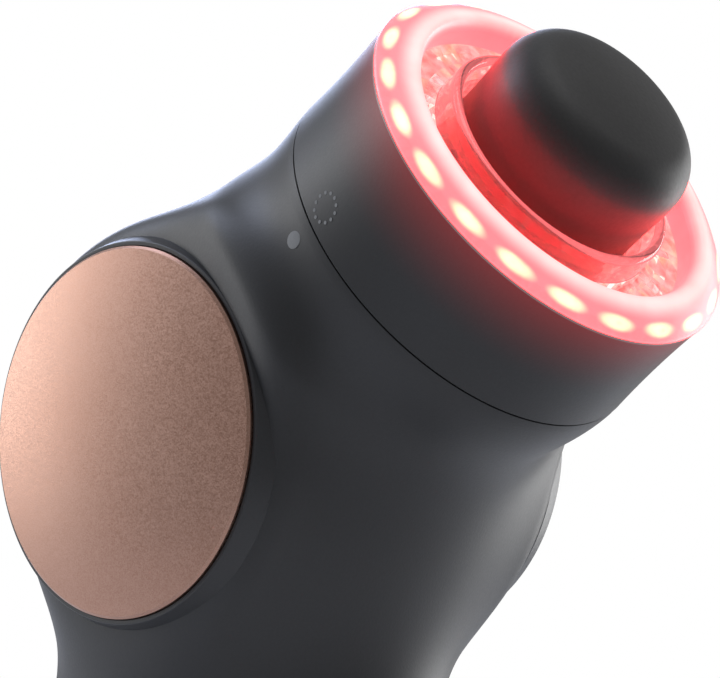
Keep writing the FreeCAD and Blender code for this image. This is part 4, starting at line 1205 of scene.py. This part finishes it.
@dataclass
class LightRing:
    """The removable ring: waisted shell, red seal, lit lens, clear optic and inner tube.

    Attributes:
        low, seal_at: the shell's two ends along the barrel, and radius its outside.
        waist, wall, floor: how far its side draws in, its thickness, and its floor's.
        low_bevel, high_bevel: the bevels at the two ends.
        bore, tube_*: the inner tube's inside, wall, base and rise over the seal.
        board_at, board_ledge: where the lamp board sits, and its ledge's width.
        lens_radius, lens_step: the lens's outside, and how far its foot is inside the wall.
        ridge: its outer slope, as insets from the outside and heights over its base.
        lip_radius, lip_height, lip_fall: its crest, and insets and drops on its inside.
        seal_*: the seal's thickness, its stand over the shell, and its width inside.
        optic_*: the optic's drop under the seal, its height, cells, rows and clearance.
        cell_*: how far its cells scatter and step down, how flat the ends are, and shift.
        channel_*: the reflector's clearances, wall and inner rounding.
        mark_*: the ring of printed dots.
    """

    low: float = 42.0
    seal_at: float = 59.1
    radius: float = 28.4
    waist: float = 0.25
    wall: float = 1.8
    floor: float = 2.2
    low_bevel: float = 0.12
    high_bevel: float = 0.05
    bore: float = 16.0
    tube_wall: float = 1.6
    tube_base: float = 50.0
    tube_rise: float = 2.9
    tube_round: float = 0.98
    board_at: float = 49.0
    board_ledge: float = 1.2
    lens_radius: float = 28.5
    lens_foot: float = 0.15
    lens_step: float = 0.65
    ridge: tuple[tuple[float, float], ...] = ((0.0, 0.15), (0.15, 0.6), (1.2, 1.6), (2.8, 2.6))
    lip_radius: float = 23.8
    lip_height: float = 3.2
    lip_fall: tuple[tuple[float, float], ...] = ((0.0, 0.0), (0.9, 0.5), (1.4, 1.6))
    lip_foot: float = 1.2
    seal_thickness: float = 0.3
    seal_stand: float = 0.05
    seal_step: float = 0.6
    optic_drop: float = 0.9
    optic_height: float = 3.6
    optic_gap: float = 0.05
    facets: int = 84
    optic_rows: int = 6
    cell_scatter: float = 0.5
    cell_step: float = 0.25
    cell_end: float = 0.05
    cell_shift: float = 0.45
    channel_over_board: float = 1.6
    channel_gap: float = 0.1
    channel_wall: float = 0.6
    channel_round: float = 0.4
    mark_at: float = 45.1
    mark_circle: float = 1.95
    mark_dots: int = 12
    mark_dot: float = 0.25
    mark_depth: float = 0.34
    mark_sunk: float = 0.3
    mark_angle: float = -94.2

    @property
    def inside(self) -> tuple[float, float]:
        """Outer and inner radius of what lies between the shell and the tube."""
        return self.radius - self.wall - self.optic_gap, self.bore + self.tube_wall + self.optic_gap

    def waisted(self, along: Array | float) -> Array | float:
        """Radius of the shell's side: R less the waist times 1 minus u squared."""
        u = (along - (self.low + self.seal_at) / 2) / ((self.seal_at - self.low) / 2)
        return self.radius - self.waist * (1 - u * u)

    def shell(self) -> Surface:
        """Turned outline whose outer side is a shallow arc.

        Returns:
            The closed surface.
        """
        low, high, r, floor = self.low, self.seal_at, self.radius, self.low + self.floor
        z = np.linspace(low + self.low_bevel, high - self.high_bevel, 24)
        side = np.stack([self.waisted(z), z], -1)
        inner, tube = r - self.wall, self.bore + self.tube_wall
        ledge = inner - self.board_ledge
        rest = [(r - self.high_bevel, high), (inner, high), (inner, self.board_at), (ledge, self.board_at),
                (ledge, floor), (tube, floor), (tube, self.tube_base), (self.bore, self.tube_base),
                (self.bore, low), (r - self.low_bevel, low)]
        return lathe(np.concatenate([side, np.array(rest)]), Place.BARREL.value, 240, True)

    def lens(self) -> Surface:
        """Turned outline: a sloping rounded ridge that falls steeply on its inside.

        Returns:
            The closed surface.
        """
        low, r, lip = self.seal_at + self.seal_thickness, self.lens_radius, self.lip_radius
        crest, seat = low + self.lip_height, self.seal_at - self.optic_drop + self.optic_gap
        foot = self.radius - self.wall - self.lens_step
        ridge = curve([(r - inset, low + rise) for inset, rise in self.ridge]
                      + [(lip - inset, crest - drop) for inset, drop in self.lip_fall], 7)
        base = np.array([(foot, seat), (foot, low), (r - self.lens_foot, low)])
        end = np.array([(lip - self.lip_foot, seat)])
        return lathe(np.concatenate([base, ridge, end]), Place.BARREL.value, 252, True)

    def seal(self) -> Surface:
        """A thin turned ring between the shell and the lens.

        Returns:
            The closed surface.
        """
        inner, outer = self.radius - self.wall - self.seal_step, self.radius + self.seal_stand
        low, high = self.seal_at, self.seal_at + self.seal_thickness
        return lathe(outline([(inner, low), (outer, low), (outer, high), (inner, high)]),
                     Place.BARREL.value, 240, True)

    def tube(self) -> Surface:
        """The clear inner tube, turned, with a rounded lip.

        Returns:
            The closed surface.
        """
        high = self.seal_at + self.seal_thickness + self.tube_rise
        turned = self.tube_wall / 2 * self.tube_round
        inner, outer, low = self.bore, self.bore + self.tube_wall, self.tube_base
        corners = [(inner, low), (outer, low), (outer, high, turned), (inner, high, turned)]
        return lathe(outline(corners, 8), Place.BARREL.value, 200, True)

    def optic(self) -> Surface:
        """The clear annulus, whose top is cut in small facets.

        Rows of the top drop by a repeatable scatter, the fractional part of a large sine,
        and every other column by more, so that each cell leans its own way.

        Returns:
            The closed surface.
        """
        outer, inner = self.inside
        high = self.seal_at - self.optic_drop
        low = high - self.optic_height
        t = np.arange(self.facets)
        radius = np.linspace(outer - self.optic_gap, inner + self.optic_gap, self.optic_rows)
        k = np.arange(self.optic_rows)[:, None]
        scatter = np.modf(np.abs(np.sin(k * 78.233 + t * 12.9898) * 43758.5453))[0]
        drop = self.cell_scatter * scatter + self.cell_step * ((t + k) % 2)
        drop[[0, -1]] = self.cell_end
        shift = self.cell_shift * (np.modf(np.abs(np.sin(k * 39.425 + t * 93.989) * 24634.6345))[0] - 0.5)
        turn = 2 * np.pi * (t + shift) / self.facets
        r = np.broadcast_to(radius[:, None], turn.shape)
        top = np.stack([r * np.cos(turn), r * np.sin(turn), high - drop], -1)
        plain = 2 * np.pi * t / self.facets
        under = [np.stack([end * np.cos(plain), end * np.sin(plain), 0 * plain + low], -1)
                 for end in (outer, inner)]
        rings = np.concatenate([under[:1], top, under[1:]])
        return Surface(Place.BARREL.value.to_row(rings), np.arange(len(rings)) * 1.0, True)

    def channel(self) -> Surface:
        """Turned outline of the reflector: a floor between two walls.

        Returns:
            The closed surface.
        """
        outer, inner = self.inside
        low, w, turned = self.board_at + self.channel_over_board, self.channel_wall, self.channel_round
        high = self.seal_at - self.optic_drop - self.optic_height - self.channel_gap
        corners = [(inner, low), (outer, low), (outer, high), (outer - w, high), (outer - w, low + w, turned),
                   (inner + w, low + w, turned), (inner + w, high), (inner, high)]
        return lathe(outline(corners), Place.BARREL.value, 240, True)

    def dots(self) -> list[Surface]:
        """Printed dots in a circle on the shell's side.

        Returns:
            A closed surface for each.
        """
        turn = math.radians(self.mark_angle)
        axis = np.array([COS, 0, SIN])
        out = np.array([SIN, 0, -COS]) * math.cos(turn) + np.array([0, 1.0, 0]) * math.sin(turn)
        side = np.cross(out, axis)
        r, high = self.mark_dot, self.mark_depth
        made = []
        for t in 2 * np.pi * np.arange(self.mark_dots) / self.mark_dots:
            across, along = self.mark_circle * math.cos(t), self.mark_at + self.mark_circle * math.sin(t)
            far = math.sqrt(self.waisted(along) ** 2 - across**2) - self.mark_sunk
            base = axis * along + side * across + out * far + np.array([0, 0, AXIS_HEIGHT])
            place = Placement(tuple(base), (tuple(np.cross(axis, out)), tuple(axis), tuple(out)))
            made.append(lathe(outline([(0, 0), (r, 0), (r, high), (0, high)]), place, 20))
        return made

    def add(self) -> None:
        """Builds and dresses the ring."""
        case = replace(SOFT_TOUCH, spill=(48.0, 59.2, 0.16)).material()
        clear = ClearPlastic(glow="#ff8a88", glow_strength=0.3).material()
        # The tube's lip gets a painted highlight along its outline, given off as light where it turns away.
        tube = ClearPlastic("polished clear acrylic tube", glow="#ff7a7c", glow_strength=0.02,
                            outline_highlight_strength=0.5).material()
        parts = (
            ("ring_case", self.shell(), case, "soft_touch_body", "ring_shell", SHARP),
            ("lit_lens", self.lens(), LitLens().material(), "frosted_lens", "ring_lens", 60.0),
            ("red_seal", self.seal(), SEAL.material(), "seal", "lens_seal", SHARP),
            ("inner_tube", self.tube(), tube, "clear_optic", "ring_collar", SHARP),
            ("cut_optic", self.optic(), clear, "clear_optic", "ring_optic", 1.0),
            ("lit_channel", self.channel(), LitChannel().material(), "white_plastic",
             "ring_reflector", SHARP),
        )
        for name, surface, material, slot, replaced, sharp in parts:
            settle(build(name, [surface], sharp), "light_ring", material, slot, replaced)
        settle(build("ring_print", self.dots()), "light_ring", PRINT.material(), "marks", "ring_mark")


@dataclass
class Tip:
    """The soft cap on the plunger: straight sides with a shallow waist and a large top round.

    Attributes:
        radius, base_at, top_at: its outside and its two ends along the barrel.
        edge, crown, waist: the top round, the dome's rise, and how far the side draws in.
        core_radius, core_top: the socket for the core.
        foot: rises of the side's start, and insets of the foot's two bevels.
    """

    radius: float = 14.8
    base_at: float = 50.0
    top_at: float = 75.0
    edge: float = 6.0
    crown: float = 0.8
    waist: float = 0.25
    core_radius: float = 11.05
    core_top: float = 66.0
    foot: tuple[float, float] = (0.8, 0.25)

    def pad(self) -> Surface:
        """Turned outline: socket, foot, side less the waist at its middle, round, dome.

        Round e and dome R meet in one direction: R = (c*c + h*h - e*e) / (2*(h - e)), where
        c is the round's centre and h the dome's height over the shoulder.

        Returns:
            The closed surface.
        """
        r, e, h = self.radius, self.edge, self.edge + self.crown
        shoulder, c = self.top_at - h, r - e
        wide, fine = self.foot
        z = np.linspace(self.base_at + wide, shoulder, 16)
        t = (z - z[0]) / (z[-1] - z[0])
        side = np.stack([r - self.waist * np.sin(np.pi * t) ** 2, z], -1)
        big = (c * c + h * h - e * e) / (2 * (h - e))
        lean = math.asin(c / (big - e))
        a = np.linspace(0, np.pi / 2 - lean, 18)[1:]
        turn = np.stack([c + e * np.cos(a), shoulder + e * np.sin(a)], -1)
        b = np.linspace(lean, 0, 24)[1:]
        top = np.stack([big * np.sin(b), self.top_at - big + big * np.cos(b)], -1)
        start = np.array([(0, self.core_top), (self.core_radius, self.core_top),
                          (self.core_radius, self.base_at), (r - wide, self.base_at),
                          (r - fine, self.base_at + fine)])
        return lathe(np.concatenate([start, side, turn, top]), Place.BARREL.value, 180)

    def add(self) -> None:
        """Builds and dresses the cap."""
        skin = replace(SILICONE, spill=(66.0, 58.0, 0.1)).material()
        settle(build("soft_tip", [self.pad()]), "massage_tip", skin, "tip_silicone", "tip_pad")


def dress_frame() -> None:
    """Gives each CAD node that still shows the finish of its material slot."""
    slots = {m["slot"]: m for m in frame["record"]["materials"]}
    ready: dict[str, bpy.types.Material] = {}
    for name, obj in frame["nodes"].items():
        slot = next((s for s in slots if obj.data.materials and obj.data.materials[0]
                     and s in obj.data.materials[0].name), "dark_plastic")
        finish = INNER.get(slot, SOFT_TOUCH)
        if slot not in ready:
            ready[slot] = finish.material()
        for i in range(max(1, len(obj.material_slots))):
            if obj.material_slots:
                obj.material_slots[i].material = ready[slot]
            else:
                obj.data.materials.append(ready[slot])
        LOG.info("%s dressed as %s", name, slot)


# ---------------------------------------------------------------- studio
@dataclass(frozen=True)
class Lamp:
    """A soft area light: where it is, what it looks at, its size, power and colour."""

    name: str
    at: tuple[float, float, float]
    size: tuple[float, float]
    power: float
    colour: str = "#ffffff"
    target: tuple[float, float, float] = (0.0, 0.0, 0.12)

    def add(self) -> None:
        """Places the light, turned so that its -Z points at its target."""
        data = bpy.data.lights.new(self.name, "AREA")
        data.shape, data.size, data.size_y = "RECTANGLE", *self.size
        data.energy, data.color = self.power, linear(self.colour)[:3]
        obj = bpy.data.objects.new(self.name, data)
        bpy.context.scene.collection.objects.link(obj)
        back = np.array(self.at) - np.array(self.target)
        back /= np.linalg.norm(back)
        right = np.cross((0, 0, 1.0), back)
        right /= np.linalg.norm(right)
        axes = np.eye(4)
        axes[:3, :4] = np.stack([right, np.cross(back, right), back, self.at], -1)
        obj.matrix_world = Matrix(axes.tolist())


@dataclass
class Studio:
    """A pale floor under white surroundings, soft lights and the camera."""

    camera_at: tuple[float, float, float] = (0.34545, -0.34055, 0.14486)
    right: tuple[float, float, float] = (0.7036, 0.697, 0.1365)
    down: tuple[float, float, float] = (0.1273, 0.064, -0.990)
    lens: float = 175.0
    floor_radius: float = 0.34
    world_light: float = 0.3
    lamps: tuple[Lamp, ...] = (
        Lamp("upper left", (-0.55, -0.25, 0.62), (0.4, 0.4), 2.4, "#dfe8ff"),
        Lamp("left", (-0.85, -0.4, 0.25), (0.3, 0.7), 3.0),
        Lamp("top", (0.15, 0.1, 0.9), (0.5, 0.5), 1.2),
        Lamp("behind left", (-0.8, 0.6, 0.3), (0.4, 0.6), 6.0, "#cfdcff"),
        Lamp("behind right", (0.1, 0.9, 0.1), (0.5, 0.6), 4.0),
    )

    def camera(self) -> None:
        """A long lens; its axes are the view's right, up and back directions."""
        data = bpy.data.cameras.new("camera")
        data.lens, data.sensor_width = self.lens, 36.0
        obj = bpy.data.objects.new("camera", data)
        bpy.context.scene.collection.objects.link(obj)
        right = np.array(self.right) / np.linalg.norm(self.right)
        up = -np.array(self.down)
        up = up - right * (up @ right)
        up /= np.linalg.norm(up)
        axes = np.eye(4)
        axes[:3, :4] = np.stack([right, up, np.cross(right, up), self.camera_at], -1)
        obj.matrix_world = Matrix(axes.tolist())
        bpy.context.scene.camera = obj

    def surroundings(self) -> None:
        """White world and a wide pale floor at the height that the object stands on."""
        world = bpy.data.worlds.new("white surroundings")
        world.use_nodes = True
        world.node_tree.nodes.clear()
        tree = world.node_tree
        seen = node(tree, Kind.RAY, out="Is Camera Ray")
        level = node(tree, Kind.RANGE, {**ALL, 0: seen, 3: self.world_light, 4: 1.0})
        shader = node(tree, Kind.BACKGROUND, {0: linear("#ffffff"), 1: level})
        node(tree, Kind.WORLD_END, {"Surface": shader})
        bpy.context.scene.world = world
        bpy.context.scene.view_settings.view_transform = "Standard"
        profile = np.array([(0, -4.0), (self.floor_radius * 1000, -4.0), (self.floor_radius * 1000, -0.05),
                            (0, -0.05)])
        floor = build("pale_floor", [lathe(profile, Place.UPRIGHT.value, 96)])
        floor.data.materials.append(Finish("pale matt floor", "#fafafa", "#f7f7f7", 2.0, 0.0, (0.7, 0.8),
                                           80.0).material())

    def add(self) -> None:
        """Sets up everything round the object."""
        self.surroundings()
        self.camera()
        for lamp in self.lamps:
            lamp.add()


def main() -> None:
    """Builds each sub-assembly in order."""
    logging.basicConfig(level=logging.INFO, format="%(name)s: %(message)s")
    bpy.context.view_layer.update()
    dress_frame()
    for part in (Housing(), SidePlates(), LightRing(), Tip(), Studio()):
        part.add()
        LOG.info("%s done", type(part).__name__)
    bpy.context.view_layer.update()


if __name__ == "__main__":
    main()
